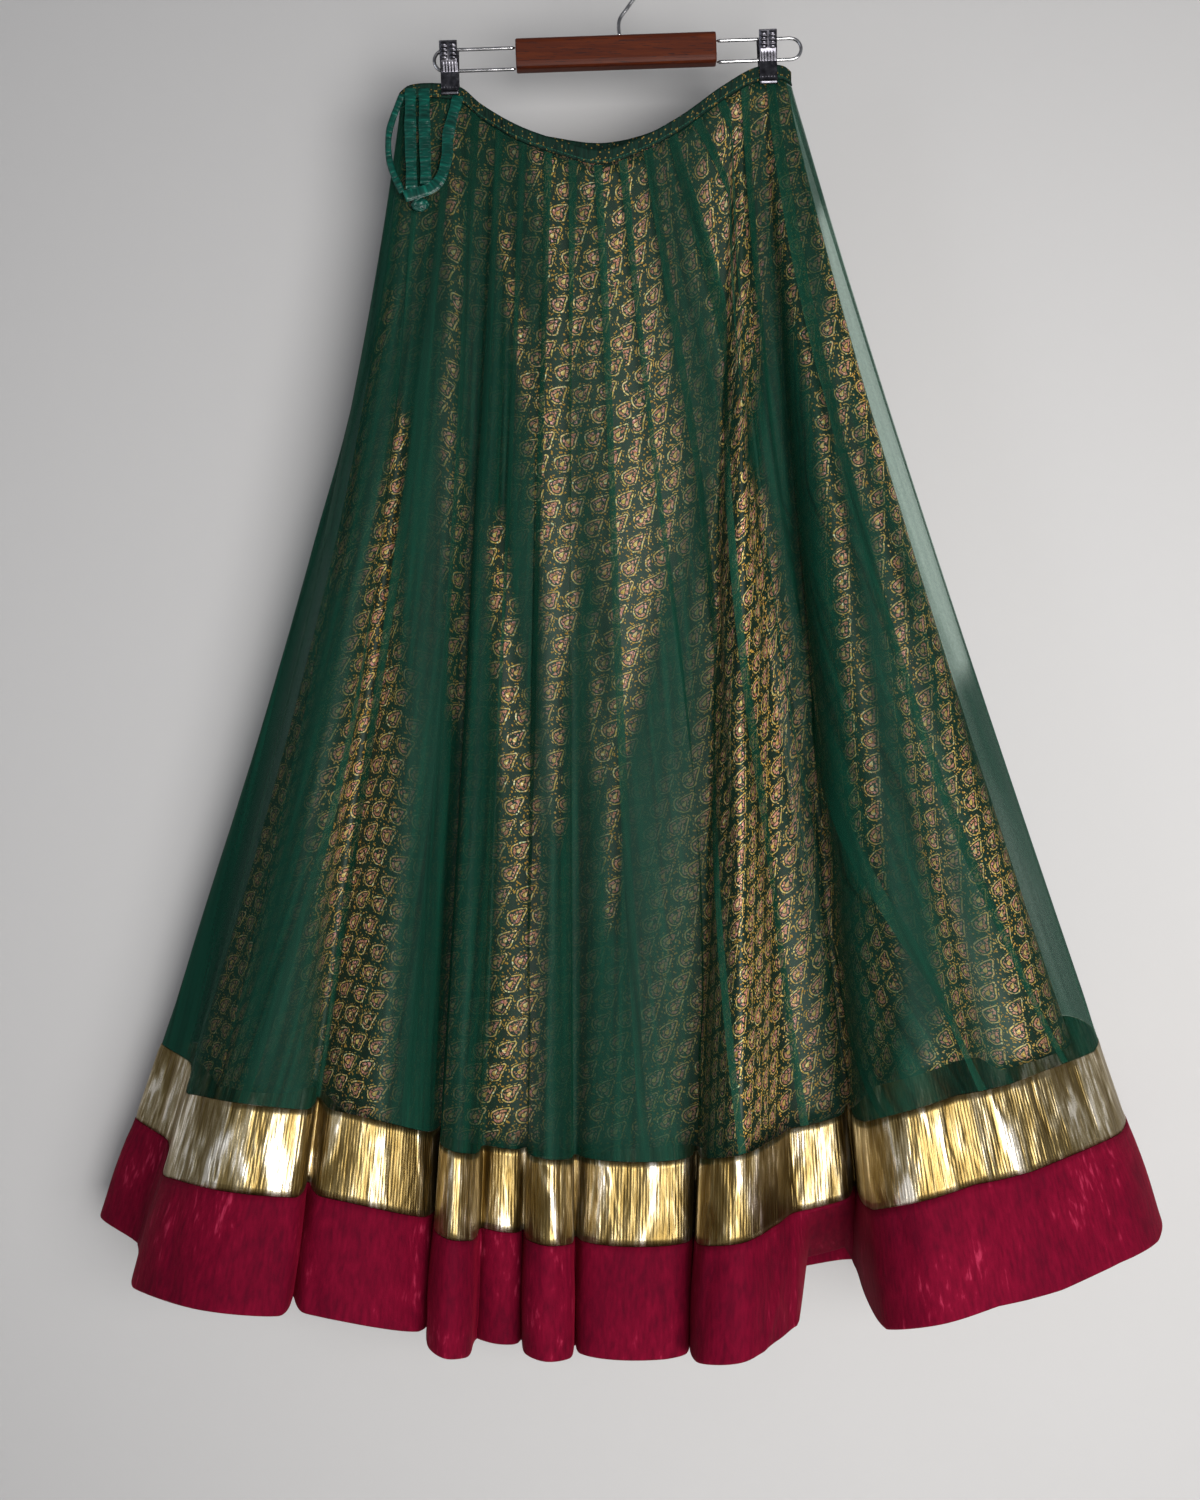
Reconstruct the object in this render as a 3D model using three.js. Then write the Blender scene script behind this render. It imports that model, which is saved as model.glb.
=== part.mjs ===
// A long flared lehenga skirt hung by its waist from a clip hanger.
// Millimetres, +Z up. The origin is the inside top of the hanger's hook, the skirt's front faces -Y,
// +X is to the right of someone facing the front.
import * as THREE from 'three';

const SKIRT_LENGTH = 1010;      // waist edge to hem, along a gore
const GORES = 32;               // net gores all round
const CLOTH_WALL = 1.0;         // net and lining wall
const GOLD_WALL = 1.2;
const VELVET_WALL = 1.6;
const WAISTBAND_WALL = 1.6;
const SEAM_GAP = 0.46;          // clearance between sewn neighbours
const WAISTBAND_HEIGHT = 12;
const GOLD_HEIGHT = 69;
const VELVET_HEIGHT = 92;
const FLARE_LEFT = 1.27;        // hips drop a little before the skirt flares, least at its right side
const FLARE_RIGHT = 1.06;
const LINING_FLARES_LATER = 0.07;
const STRAIGHT_AT_WAIST = 0.008; // share of the length that the clips keep flat
const NET_ROWS = 5;
const LINING_ROWS = 4;
const LINING_PINCH = 1.3;       // lining's stand-off from the middle plane under the clips
const LINING_SWELL = 0.74;      // share of the net's swell that the lining follows at the waist
const LINING_SIDE_INSET = 3.3;
const WAIST_COLUMN = 26;        // widest column of cloth at the waist
const LINING_STOP = 0.85;       // share of the length where the lining is hemmed
const TIGHTEST_BEND = 0.42;     // cosine of the sharpest half turn that a wall is mitred round

// Waist edge lying flat in the clips: across, height, how far the front and the back stand off
// the middle plane, and how much higher the back edge sits. The first and last rows are the two
// ends of the flattened loop.
const WAIST = [
  { x: -184, z: -119, front: 0, back: 0, rise: 0 },
  { x: -176, z: -114, front: 4.4, back: 4.4, rise: 0 },
  { x: -152, z: -111.5, front: 3.2, back: 3.2, rise: 0 },
  { x: -132, z: -115, front: 3.2, back: 3.2, rise: 0 },
  { x: -114, z: -131, front: 8, back: 6, rise: 2 },
  { x: -82, z: -152, front: 16, back: 9, rise: 6 },
  { x: -48, z: -165.5, front: 20, back: 11, rise: 12 },
  { x: -14, z: -174, front: 22, back: 12, rise: 17 },
  { x: 20, z: -163, front: 20, back: 12, rise: 12 },
  { x: 54, z: -143, front: 15, back: 10, rise: 6 },
  { x: 90, z: -115, front: 8, back: 6.5, rise: 2 },
  { x: 118, z: -98, front: 3.2, back: 3.2, rise: 0 },
  { x: 137, z: -96, front: 3.2, back: 3.2, rise: 0 },
  { x: 143, z: -97.5, front: 2.6, back: 2.6, rise: 0 },
  { x: 148, z: -101, front: 0, back: 0, rise: 0 },
];

const CLIP_STAND = 3.2;         // stand-off of the net where a clip pinches it

// Folds of the net skirt at the hem, front ones left to right, then back ones right to left.
// in / crest / out are the two edges and the top of the fold, valley the dip after it;
// spring and dip are where crest and valley start at the waist; hang lengthens that fold, and
// its valley by half as much unless dipHang says otherwise;
// curl is how many degrees the velvet border kicks back under it.
const NET_FOLDS = [
  { side: 'front', in: [-397, -50], crest: [-333, -108], out: [-268, -100], valley: [-264, -62],
    spring: -178, dip: -168, hang: 16 },
  { side: 'front', in: [-252, -84], crest: [-204, -88], out: [-162, -60], valley: [-156, -18],
    spring: -142, dip: -108, hang: 15 },
  { side: 'front', in: [-152, -80], crest: [-136, -98], out: [-121, -80], valley: [-117, -24],
    spring: -98, dip: -88, hang: 8 },
  { side: 'front', in: [-110, -32], crest: [-98, -36], out: [-85, -32], valley: [-80, -20],
    spring: -76, dip: -64, hang: 2 },
  { side: 'front', in: [-74, -60], crest: [-57, -74], out: [-39, -60], valley: [-35, -12],
    spring: -50, dip: -38, hang: -2 },
  { side: 'front', in: [-28, -40], crest: [14, -52], out: [56, -44], valley: [62, -4],
    spring: 30, dip: 98, hang: -5 },
  { side: 'front', in: [67, -90], crest: [96, -106], out: [130, -70], valley: [150, -38],
    spring: 108, dip: 115, hang: -4 },
  { side: 'front', in: [166, -32], crest: [182, -32], out: [200, -28], valley: [211, 0],
    spring: 118, dip: 123, hang: 0, curl: 50 },
  { side: 'front', in: [212, -110], crest: [246, -148], out: [292, -144], valley: [316, -136],
    spring: 128, dip: 133, hang: 15, dipHang: 19 },
  { side: 'front', in: [346, -126], crest: [392, -100], out: [444, -52], valley: [460, 0],
    spring: 139, dip: 147, hang: 22 },
  { side: 'back', in: [450, 62], crest: [408, 96], out: [364, 88], valley: [350, 46],
    spring: 128, dip: 108, hang: 10 },
  { side: 'back', in: [336, 88], crest: [290, 104], out: [242, 92], valley: [228, 40],
    spring: 88, dip: 66, hang: 2 },
  { side: 'back', in: [213, 90], crest: [168, 98], out: [120, 90], valley: [105, 46],
    spring: 45, dip: 24, hang: 4 },
  { side: 'back', in: [92, 84], crest: [46, 106], out: [1, 94], valley: [-14, 40],
    spring: 3, dip: -18, hang: -2 },
  { side: 'back', in: [-28, 88], crest: [-78, 97], out: [-126, 92], valley: [-141, 46],
    spring: -40, dip: -60, hang: 2 },
  { side: 'back', in: [-154, 84], crest: [-202, 103], out: [-250, 92], valley: [-263, 40],
    spring: -82, dip: -103, hang: 5 },
  { side: 'back', in: [-277, 88], crest: [-322, 98], out: [-368, 84], valley: [-384, 48],
    spring: -124, dip: -143, hang: 2 },
  { side: 'back', in: [-397, 78], crest: [-431, 86], out: [-454, 60], valley: [-410, 14],
    spring: -162, dip: -184, hang: 12 },
];

// Folds of the patterned lining, which is narrower and has its own, wider folds.
const LINING_FOLDS = [
  { side: 'front', in: [-366, -28], crest: [-334, -76], out: [-300, -58], valley: [-280, -4],
    spring: -172, dip: -160, hang: 0 },
  { side: 'front', in: [-246, -40], crest: [-212, -66], out: [-182, -40], valley: [-162, 6],
    spring: -142, dip: -112, hang: 4 },
  { side: 'front', in: [-112, -6], crest: [-94, -11], out: [-66, -9], valley: [-32, 9],
    spring: -78, dip: -40, hang: 0 },
  { side: 'front', in: [0, 12], crest: [22, 12], out: [46, 13], valley: [64, 11],
    spring: 26, dip: 96, hang: -10 },
  { side: 'front', in: [78, -40], crest: [98, -82], out: [122, -46], valley: [146, 0],
    spring: 106, dip: 113, hang: 6 },
  { side: 'front', in: [168, 10], crest: [184, 11], out: [200, 12], valley: [217, 15],
    spring: 118, dip: 124.5, hang: 0 },
  { side: 'front', in: [232, -52], crest: [264, -104], out: [300, -96], valley: [330, -66],
    spring: 129, dip: 133, hang: -22 },
  { side: 'front', in: [352, -60], crest: [384, -58], out: [422, -30], valley: [437, 10],
    spring: 138, dip: 144, hang: 10 },
  { side: 'back', in: [428, 40], crest: [402, 62], out: [372, 55], valley: [350, 26],
    spring: 126, dip: 106, hang: 0 },
  { side: 'back', in: [318, 54], crest: [288, 74], out: [256, 54], valley: [228, 22],
    spring: 86, dip: 65, hang: 4 },
  { side: 'back', in: [200, 52], crest: [168, 70], out: [134, 52], valley: [105, 26],
    spring: 44, dip: 23, hang: 0 },
  { side: 'back', in: [78, 52], crest: [46, 76], out: [14, 54], valley: [-14, 24],
    spring: 3, dip: -18, hang: -3 },
  { side: 'back', in: [-42, 52], crest: [-78, 70], out: [-112, 54], valley: [-141, 26],
    spring: -39, dip: -59, hang: 0 },
  { side: 'back', in: [-168, 52], crest: [-202, 73], out: [-236, 54], valley: [-263, 22],
    spring: -80, dip: -101, hang: 3 },
  { side: 'back', in: [-288, 50], crest: [-318, 68], out: [-346, 50], valley: [-364, 28],
    spring: -121, dip: -141, hang: 0 },
  { side: 'back', in: [-376, 22], crest: [-402, 48], out: [-412, 40], valley: [-388, 8],
    spring: -160, dip: -181, hang: 0 },
];

// Hanger sizes, before its slight tilt about the hook.
const HANGER_TILT = 2 * Math.PI / 180;
const BLOCK = { x: -3.4, z: -84, width: 170, height: 26, depth: 18, corner: 4, bevel: 1.2 };
const HOOK = { wire: 3.4, radius: 21.7, centreZ: -20 };
const LOOP = { wire: 3, top: -77, bottom: -95, left: -158, right: 154 };
const CLIPS = [{ name: 'clip_left', x: -145 }, { name: 'clip_right', x: 125 }];
// jaw, bottom to top: height, and how far it stands off the cloth it grips
const JAW = [{ z: -117.5, off: 1.3 }, { z: -112.5, off: 0.1 }, { z: -97.5, off: 0 },
  { z: -89, off: 4.5 }, { z: -73.5, off: 7 }];
const CLIP = { width: 15, sheet: 1.5 };
const SLIDE = { width: 8, depth: 8, top: -74.3, bottom: -97.7, holeClear: 0.3 };
const RIBBON_THICK = 1.4;
const HANGER_GAP = 0.3;
const JAW_CLEAR = 0.75;

const root = new THREE.Group();
root.name = 'lehenga_skirt_on_clip_hanger';

const cloth = (color, roughness, metalness) =>
  new THREE.MeshStandardMaterial({ color, roughness, metalness });
const NET = () => cloth('#0f4a34', 0.85, 0);
const LINING = () => cloth('#2c3f26', 0.6, 0.2);
const GOLD = () => cloth('#c79a3c', 0.35, 0.8);
const VELVET = () => cloth('#8c0f22', 0.9, 0);
const RIBBON_SATIN = () => cloth('#0c6a57', 0.35, 0);
const STEEL = () => cloth('#8e9094', 0.3, 1);
const WOOD = () => cloth('#5b2317', 0.4, 0);

const mix = (a, b, t) => a + (b - a) * t;

function place(geometry, name, material) {
  const mesh = new THREE.Mesh(geometry, material);
  mesh.name = name;
  root.add(mesh);
}

// ---- running length along a closed curve, so that a place on it is found from a share of it
function measure(curve, knots, plan) {
  const steps = knots * 24;
  const lengths = [0];
  const last = curve(0);
  for (let i = 1; i <= steps; i++) {
    const p = curve(i * knots / steps);
    const rise = plan ? 0 : p.z - last.z;
    lengths.push(lengths[i - 1] + Math.hypot(p.x - last.x, p.y - last.y, rise));
    last.copy(p);
  }
  const total = lengths[steps];
  const lengthAt = (s) => {
    const turns = Math.floor(s / knots);
    const f = (s - turns * knots) * steps / knots;
    const i = Math.min(Math.floor(f), steps - 1);
    return turns + mix(lengths[i], lengths[i + 1], f - i) / total;
  };
  const placeAt = (share) => {
    const turns = Math.floor(share);
    const want = (share - turns) * total;
    let lo = 0;
    let hi = steps;
    while (hi - lo > 1) {
      const mid = (lo + hi) >> 1;
      if (lengths[mid] <= want) lo = mid;
      else hi = mid;
    }
    const inside = (want - lengths[lo]) / Math.max(lengths[hi] - lengths[lo], 1e-9);
    return turns * knots + (lo + inside) * knots / steps;
  };
  return { total, lengthAt, placeAt };
}

function closedSpline(points) {
  const spline = new THREE.CatmullRomCurve3(points, true, 'centripetal');
  const n = points.length;
  return (s) => spline.getPoint(((s / n) % 1 + 1) % 1);
}

// ---- the waist loop: front from left to right, then back from right to left
function waistLoop(pinch, swell, sideInset) {
  const last = WAIST.length - 1;
  const stand = (depth) => pinch + (depth - CLIP_STAND) * swell;
  const shift = (row, i) => (i === 0 ? sideInset : i === last ? -sideInset : 0);
  const front = WAIST.map((row, i) =>
    new THREE.Vector3(row.x + shift(row, i), i % last ? -stand(row.front) : 0, row.z));
  const back = WAIST.slice(1, last).reverse().map((row) =>
    new THREE.Vector3(row.x, stand(row.back), row.z + row.rise));
  const points = front.concat(back);
  const curve = closedSpline(points);
  const ruler = measure(curve, points.length, true);
  const middle = ruler.lengthAt(last);
  // share of the loop where the front or the back stands at a given place across
  const shareAt = (side, x) => {
    let lo = side === 'front' ? 0 : middle;
    let hi = side === 'front' ? middle : 1;
    const rising = side === 'front';
    for (let i = 0; i < 40; i++) {
      const mid = (lo + hi) / 2;
      if ((curve(ruler.placeAt(mid)).x < x) === rising) lo = mid;
      else hi = mid;
    }
    return (lo + hi) / 2;
  };
  return { at: (share) => curve(ruler.placeAt(share)), shareAt, middle, total: ruler.total };
}

// ---- a hanging cloth surface, straight from each place on the waist to one at the hem
function hangingCloth(folds, waist, later) {
  const plan = [];
  const shares = [];
  const hangs = [];
  const curls = [];
  folds.forEach((fold, i) => {
    const before = folds[(i + folds.length - 1) % folds.length];
    let start = waist.shareAt(before.side, before.dip);
    const crest = waist.shareAt(fold.side, fold.spring);
    let end = waist.shareAt(fold.side, fold.dip);
    if (before.side !== fold.side) start = fold.side === 'front' ? 0 : waist.middle;
    if (i === folds.length - 1) end = 1;
    plan.push(fold.in, fold.crest, fold.out, fold.valley);
    shares.push(mix(start, crest, 0.55), crest, mix(crest, end, 0.45), end);
    hangs.push(fold.hang, fold.hang, fold.hang, fold.dipHang ?? fold.hang / 2);
    const curl = (fold.curl || 0) * Math.PI / 180;
    curls.push(curl, curl, curl, curl / 2);
  });
  const n = plan.length;
  const curve = closedSpline(plan.map(([x, y]) => new THREE.Vector3(x, y, 0)));
  const ruler = measure(curve, n, true);
  const table = (list, s, wrap) => {
    const turns = Math.floor(s / n);
    const f = s - turns * n;
    const i = Math.floor(f);
    const a = list[i];
    const b = i + 1 < n ? list[i + 1] : list[0] + wrap;
    return mix(a, b, f - i) + turns * wrap;
  };
  const waistShare = (s) => table(shares, s, 1);
  // the hem is level with the cut length of the gore that ends there
  const hemShift = shares[0] - ruler.lengthAt(0);
  const start = waist.middle - ruler.lengthAt(4 * folds.filter((f) => f.side === 'front').length - 1);
  const goreShare = (s) => ruler.lengthAt(s) + (start + hemShift) / 2;
  const hem = (s) => {
    const p = curve(s);
    const top = waist.at(goreShare(s));
    const run = Math.hypot(p.x - top.x, p.y - top.y);
    p.z = top.z - Math.sqrt(SKIRT_LENGTH ** 2 - run ** 2) - table(hangs, s, 0);
    return p;
  };
  const length = (s) => hem(s).distanceTo(waist.at(waistShare(s)));
  const point = (s, v) => {
    const top = waist.at(waistShare(s));
    const foot = hem(s);
    const across = (top.x - WAIST[0].x) / (WAIST[WAIST.length - 1].x - WAIST[0].x);
    const below = Math.max(v - STRAIGHT_AT_WAIST, 0) / (1 - STRAIGHT_AT_WAIST);
    const flare = below ** (mix(FLARE_LEFT, FLARE_RIGHT, across) + later);
    const p = new THREE.Vector3(mix(top.x, foot.x, flare), mix(top.y, foot.y, flare),
      mix(top.z, foot.z, v));
    const border = Math.max(VELVET_HEIGHT - (1 - v) * foot.distanceTo(top), 0);
    const curl = table(curls, s, 0);
    p.y += border * Math.sin(curl);
    p.z += border * (1 - Math.cos(curl));
    return p;
  };
  const normal = (s, v) => {
    const along = point(s + 0.02, v).sub(point(s - 0.02, v));
    const down = point(s, v + 0.004).sub(point(s, v - 0.004));
    return down.cross(along).normalize();
  };
  // s of the waist place that a given share of the loop falls on
  const waistPlace = (share) => {
    let lo = -n;
    let hi = 2 * n;
    for (let i = 0; i < 50; i++) {
      const mid = (lo + hi) / 2;
      if (waistShare(mid) < share) lo = mid;
      else hi = mid;
    }
    return (lo + hi) / 2;
  };
  const hemPlace = (share) => ruler.placeAt(share - (start + hemShift) / 2);
  // columns close together on the tight bends and wide apart on the flats
  const columns = (span, bend) => {
    const steps = n * 16;
    const stops = [0];
    let cost = 0;
    let before = null;
    let last = curve(0);
    for (let i = 1; i <= steps; i++) {
      const p = curve(i * n / steps);
      const heading = Math.atan2(p.y - last.y, p.x - last.x);
      let turn = before === null ? 0 : heading - before;
      turn = Math.abs(Math.atan2(Math.sin(turn), Math.cos(turn)));
      const strip = (waistShare(i * n / steps) - waistShare((i - 1) * n / steps)) * waist.total;
      cost += p.distanceTo(last) / span + turn / bend + strip / WAIST_COLUMN;
      const valley = i % 64 === 48;
      const nearValley = (i % 64 > 42 && i % 64 < 54) || i > steps - 3;
      if (valley || (cost >= 1 && !nearValley)) {
        stops.push(i * n / steps);
        cost = valley ? 0.45 : 0;
      }
      before = heading;
      last = p;
    }
    return stops;
  };
  return { n, point, normal, length, waistPlace, hemPlace, columns, hemLength: ruler.total };
}

// ---- one sewn panel: the part of a cloth between two slanting seams, as a closed wall
// fall(s, q) turns a share q of the panel's height into a share of the cloth's length.
function panel(cloth, stops, left, right, rows, fall, wall) {
  const n = cloth.n;
  const seam = (edge, q) => mix(edge[0], edge[1], q);
  const lowest = Math.min(...left);
  const highest = Math.max(...right);
  const grid = [];
  for (let turn = -2; turn <= 2; turn++) {
    for (const s of stops) grid.push(s + turn * n);
  }
  const points = [];
  const index = new Map();
  const faces = [];
  const keep = (p) => {
    const key = `${p.s.toFixed(6)}|${p.q.toFixed(6)}`;
    if (!index.has(key)) {
      index.set(key, points.length);
      points.push({ s: p.s, q: p.q, edge: 0 });
    }
    const i = index.get(key);
    if (p.edge) points[i].edge = p.edge;
    return i;
  };
  const cut = (poly, edge, keepSign, mark) => {
    const off = poly.map((p) => {
      const f = keepSign * (p.s - seam(edge, p.q));
      return Math.abs(f) < 0.12 * p.pitch ? 0 : f;
    });
    const out = [];
    poly.forEach((p, i) => {
      const j = (i + 1) % poly.length;
      const r = poly[j];
      if (off[i] === 0) out.push({ ...p, s: seam(edge, p.q), edge: mark });
      else if (off[i] > 0) out.push(p);
      if (off[i] * off[j] < 0) {
        const fi = p.s - seam(edge, p.q);
        const fj = r.s - seam(edge, r.q);
        const t = fi / (fi - fj);
        const q = mix(p.q, r.q, t);
        out.push({ s: seam(edge, q), q, edge: mark, pitch: p.pitch });
      }
    });
    return out;
  };
  for (let c = 0; c + 1 < grid.length; c++) {
    if (grid[c + 1] < lowest - 0.01 || grid[c] > highest + 0.01) continue;
    const pitchAt = (i) => Math.min(grid[i + 1] - grid[i], grid[i] - grid[i - 1]);
    if (c < 1 || c + 2 >= grid.length) continue;
    const pa = pitchAt(c);
    const pb = pitchAt(c + 1);
    for (let r = 0; r < rows; r++) {
      const q0 = r / rows;
      const q1 = (r + 1) / rows;
      let poly = [
        { s: grid[c], q: q0, edge: 0, pitch: pa }, { s: grid[c], q: q1, edge: 0, pitch: pa },
        { s: grid[c + 1], q: q1, edge: 0, pitch: pb }, { s: grid[c + 1], q: q0, edge: 0, pitch: pb },
      ];
      poly = cut(poly, left, 1, 1);
      if (poly.length > 2) poly = cut(poly, right, -1, 2);
      if (poly.length < 3) continue;
      const ring = poly.map(keep).filter((v, i, all) => v !== all[(i + 1) % all.length]);
      if (ring.length < 3 || ring.every((v) => points[v].edge === points[ring[0]].edge
        && points[v].edge > 0)) continue;
      for (let i = 1; i + 1 < ring.length; i++) faces.push([ring[0], ring[i], ring[i + 1]]);
    }
  }
  // steps off a seam, square to it, into this panel
  const step = (p, v, out) => {
    const edge = p.edge === 1 ? left : right;
    const at = (q) => cloth.point(seam(edge, q), fall(seam(edge, q), q));
    const run = at(p.q + 0.01).sub(at(p.q - 0.01)).normalize();
    const across = cloth.point(p.s + 0.02, v).sub(cloth.point(p.s - 0.02, v));
    const aside = run.cross(out).normalize();
    const side = (p.edge === 1 ? 1 : -1) * Math.sign(aside.dot(across));
    return aside.multiplyScalar(side * SEAM_GAP / 2);
  };
  // outward direction where the flats on either side meet, and how far the skins stand off
  // there so that the wall keeps its thickness round a tight bend
  const corner = (p, v) => {
    let right = 0;
    while (grid[right] < p.s + 1e-6) right++;
    let before = right - 1;
    while (grid[before] > p.s - 1e-6) before--;
    const here = cloth.point(p.s, v);
    const down = cloth.point(p.s, v + 0.004).sub(cloth.point(p.s, v - 0.004));
    const aside = (s) => cloth.point(s, fall(s, p.q));
    const sides = [here.clone().sub(aside(grid[before])), aside(grid[right]).sub(here)]
      .map((along) => down.clone().cross(along).normalize());
    const fold = sides[0].clone().add(sides[1]).normalize();
    const ease = Math.min(6 * v, 1); // none at the waist, where the loop is pressed flat
    const out = cloth.normal(p.s, v).lerp(fold, ease).normalize();
    return { out, reach: 1 / Math.max(out.dot(sides[0]), mix(1, TIGHTEST_BEND, ease)) };
  };
  const outer = [];
  const inner = [];
  for (const p of points) {
    const v = fall(p.s, p.q);
    const { out, reach } = corner(p, v);
    const middle = cloth.point(p.s, v);
    if (p.edge) middle.add(step(p, v, out));
    out.multiplyScalar(reach * wall / 2);
    outer.push(middle.clone().add(out));
    inner.push(middle.clone().sub(out));
  }
  return closedWall(outer, inner, faces);
}

// ---- joins an outer and an inner skin round their shared rim
function closedWall(outer, inner, faces) {
  const n = outer.length;
  const flat = [];
  for (const p of outer.concat(inner)) flat.push(p.x, p.y, p.z);
  const index = [];
  const edges = new Set();
  for (const [a, b, c] of faces) {
    for (const [p, q] of [[a, b], [b, c], [c, a]]) edges.add(`${p},${q}`);
    index.push(a, b, c, c + n, b + n, a + n);
  }
  for (const key of edges) {
    const [p, q] = key.split(',').map(Number);
    if (edges.has(`${q},${p}`)) continue;
    // both sides of a seam are split along the same diagonal, so their rims stay parallel
    if (outer[p].z > outer[q].z) index.push(q, p, q + n, p, p + n, q + n);
    else index.push(q, p, p + n, q, p + n, q + n);
  }
  const geometry = new THREE.BufferGeometry();
  geometry.setAttribute('position', new THREE.Float32BufferAttribute(flat, 3));
  geometry.setIndex(index);
  geometry.computeVertexNormals();
  return geometry;
}

// ---- cloths
const waist = waistLoop(CLIP_STAND, 1, 0);
const net = hangingCloth(NET_FOLDS, waist, 0);
const lining = hangingCloth(LINING_FOLDS, waistLoop(LINING_PINCH, LINING_SWELL, LINING_SIDE_INSET),
  LINING_FLARES_LATER);

// moves the nearest column onto each seam, so that sewn neighbours share their edge
function onSeams(stops, seams, n) {
  const fixed = new Set();
  for (const seam of seams) {
    const s = ((seam % n) + n) % n;
    let best = -1;
    stops.forEach((stop, i) => {
      const near = Math.abs(stop - s) < Math.abs(stops[best] - s);
      if (!fixed.has(i) && (best < 0 || near)) best = i;
    });
    fixed.add(best);
    stops[best] = s;
  }
  return stops.sort((a, b) => a - b);
}
const sideSeams = [net.waistPlace(0), net.waistPlace(0.5), net.waistPlace(1)];
const hemSeams = Array.from({ length: GORES }, (_, i) => net.hemPlace(i / GORES));
const netStops = onSeams(net.columns(70, 0.9), [...hemSeams, ...sideSeams.slice(0, 2)], net.n);
const liningStops = lining.columns(75, 1.15);

const share = (c, s, mm) => mm / c.length(s);
const goldTop = (s) => 1 - share(net, s, GOLD_HEIGHT + VELVET_HEIGHT);
const goldFoot = (s) => 1 - share(net, s, VELVET_HEIGHT);
const belowBand = (c, s) => share(c, s, WAISTBAND_HEIGHT + 1.5 * SEAM_GAP);

const netFall = (s, q) => mix(belowBand(net, s), goldTop(s) - share(net, s, SEAM_GAP), q);
for (let k = 0; k < GORES; k++) {
  const seams = [k, k + 1].map((i) =>
    [net.waistPlace(i / GORES), net.hemPlace(i / GORES)]);
  const side = k < GORES / 2 ? 'front' : 'back';
  const number = String(k % (GORES / 2) + 1).padStart(2, '0');
  place(panel(net, netStops, seams[0], seams[1], NET_ROWS, netFall, CLOTH_WALL),
    `net_gore_${side}_${number}`, NET());
}

// ---- border bands and waistband casing, each a front and a back strip seamed at the sides
const goldFall = (s, q) => mix(goldTop(s), goldFoot(s) - share(net, s, SEAM_GAP), q);
const velvetFall = (s, q) => mix(goldFoot(s), 1, q);
const bandFall = (s, q) => q * share(net, s, WAISTBAND_HEIGHT);
['front', 'back'].forEach((side, i) => {
  const edges = [sideSeams[i], sideSeams[i + 1]].map((s) => [s, s]);
  place(panel(net, netStops, edges[0], edges[1], 1, goldFall, GOLD_WALL),
    `gold_band_${side}`, GOLD());
  place(panel(net, netStops, edges[0], edges[1], 1, velvetFall, VELVET_WALL),
    `velvet_border_${side}`, VELVET());
  place(panel(net, netStops, edges[0], edges[1], 1, bandFall, WAISTBAND_WALL),
    `waistband_${side}`, NET());
});

// ---- lining, four panels
const liningFall = (s, q) => mix(belowBand(lining, s), LINING_STOP, q);
const LINING_PANELS = ['lining_front_left', 'lining_front_right', 'lining_back_right',
  'lining_back_left'];
LINING_PANELS.forEach((name, i) => {
  const edges = [i, i + 1].map((k) => {
    const s = lining.waistPlace(k / 4);
    return [s, s];
  });
  place(panel(lining, liningStops, edges[0], edges[1], LINING_ROWS, liningFall, CLOTH_WALL),
    name, LINING());
});

// ---- flat satin drawstring, lengths hanging at the left of the waist
function ribbon(points, width, thick) {
  const path = new THREE.CatmullRomCurve3(points.map((p) => new THREE.Vector3(...p)), false,
    'centripetal');
  const sides = 8;
  const stations = 3 * (points.length - 1);
  const ring = [];
  for (let i = 0; i < sides; i++) {
    const a = (i + 0.5) * 2 * Math.PI / sides;
    ring.push([Math.cos(a) * width / 2 / Math.cos(Math.PI / sides), Math.sin(a) * thick / 2]);
  }
  const flat = [];
  const index = [];
  for (let i = 0; i <= stations; i++) {
    const p = path.getPoint(i / stations);
    const along = path.getTangent(i / stations);
    const across = new THREE.Vector3(along.z, 0, -along.x).normalize();
    const face = along.clone().cross(across).normalize();
    for (const [u, w] of ring) {
      flat.push(p.x + across.x * u + face.x * w, p.y + across.y * u + face.y * w,
        p.z + across.z * u + face.z * w);
    }
  }
  for (let i = 0; i < stations; i++) {
    for (let j = 0; j < sides; j++) {
      const a = i * sides + j;
      const b = i * sides + (j + 1) % sides;
      index.push(a, b, b + sides, a, b + sides, a + sides);
    }
  }
  const end = stations * sides;
  for (let j = 1; j + 1 < sides; j++) index.push(0, j + 1, j, end, end + j, end + j + 1);
  const geometry = new THREE.BufferGeometry();
  geometry.setAttribute('position', new THREE.Float32BufferAttribute(flat, 3));
  geometry.setIndex(index);
  geometry.computeVertexNormals();
  return geometry;
}
// name, width, then the route from the waistband down
const RIBBONS = [
  { name: 'drawstring_loop', width: 5.5, route: [[-181.5, -6.6, -122], [-192, -11, -156],
    [-190.5, -15, -184], [-180, -19.2, -209]] },
  { name: 'drawstring_end_left', width: 9.5, route: [[-174.5, -6.6, -117], [-174, -12, -150],
    [-172, -19.3, -206]] },
  { name: 'drawstring_end_middle', width: 9.5, route: [[-163, -6, -117], [-162, -12, -150],
    [-160, -19.3, -202]] },
  { name: 'drawstring_end_right', width: 9.5, route: [[-134, -5.4, -123], [-142, -12, -158],
    [-143, -16, -180], [-152, -20.4, -203], [-178, -20.9, -213]] },
];
for (const { name, width, route } of RIBBONS) {
  place(ribbon(route, width, RIBBON_THICK), name, RIBBON_SATIN());
}
const KNOT = { x: -165, y: -19.5, z: -219.4, wide: 7, deep: 2, tall: 6 };
const knot = new THREE.SphereGeometry(1, 12, 8);
knot.scale(KNOT.wide, KNOT.deep, KNOT.tall);
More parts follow.
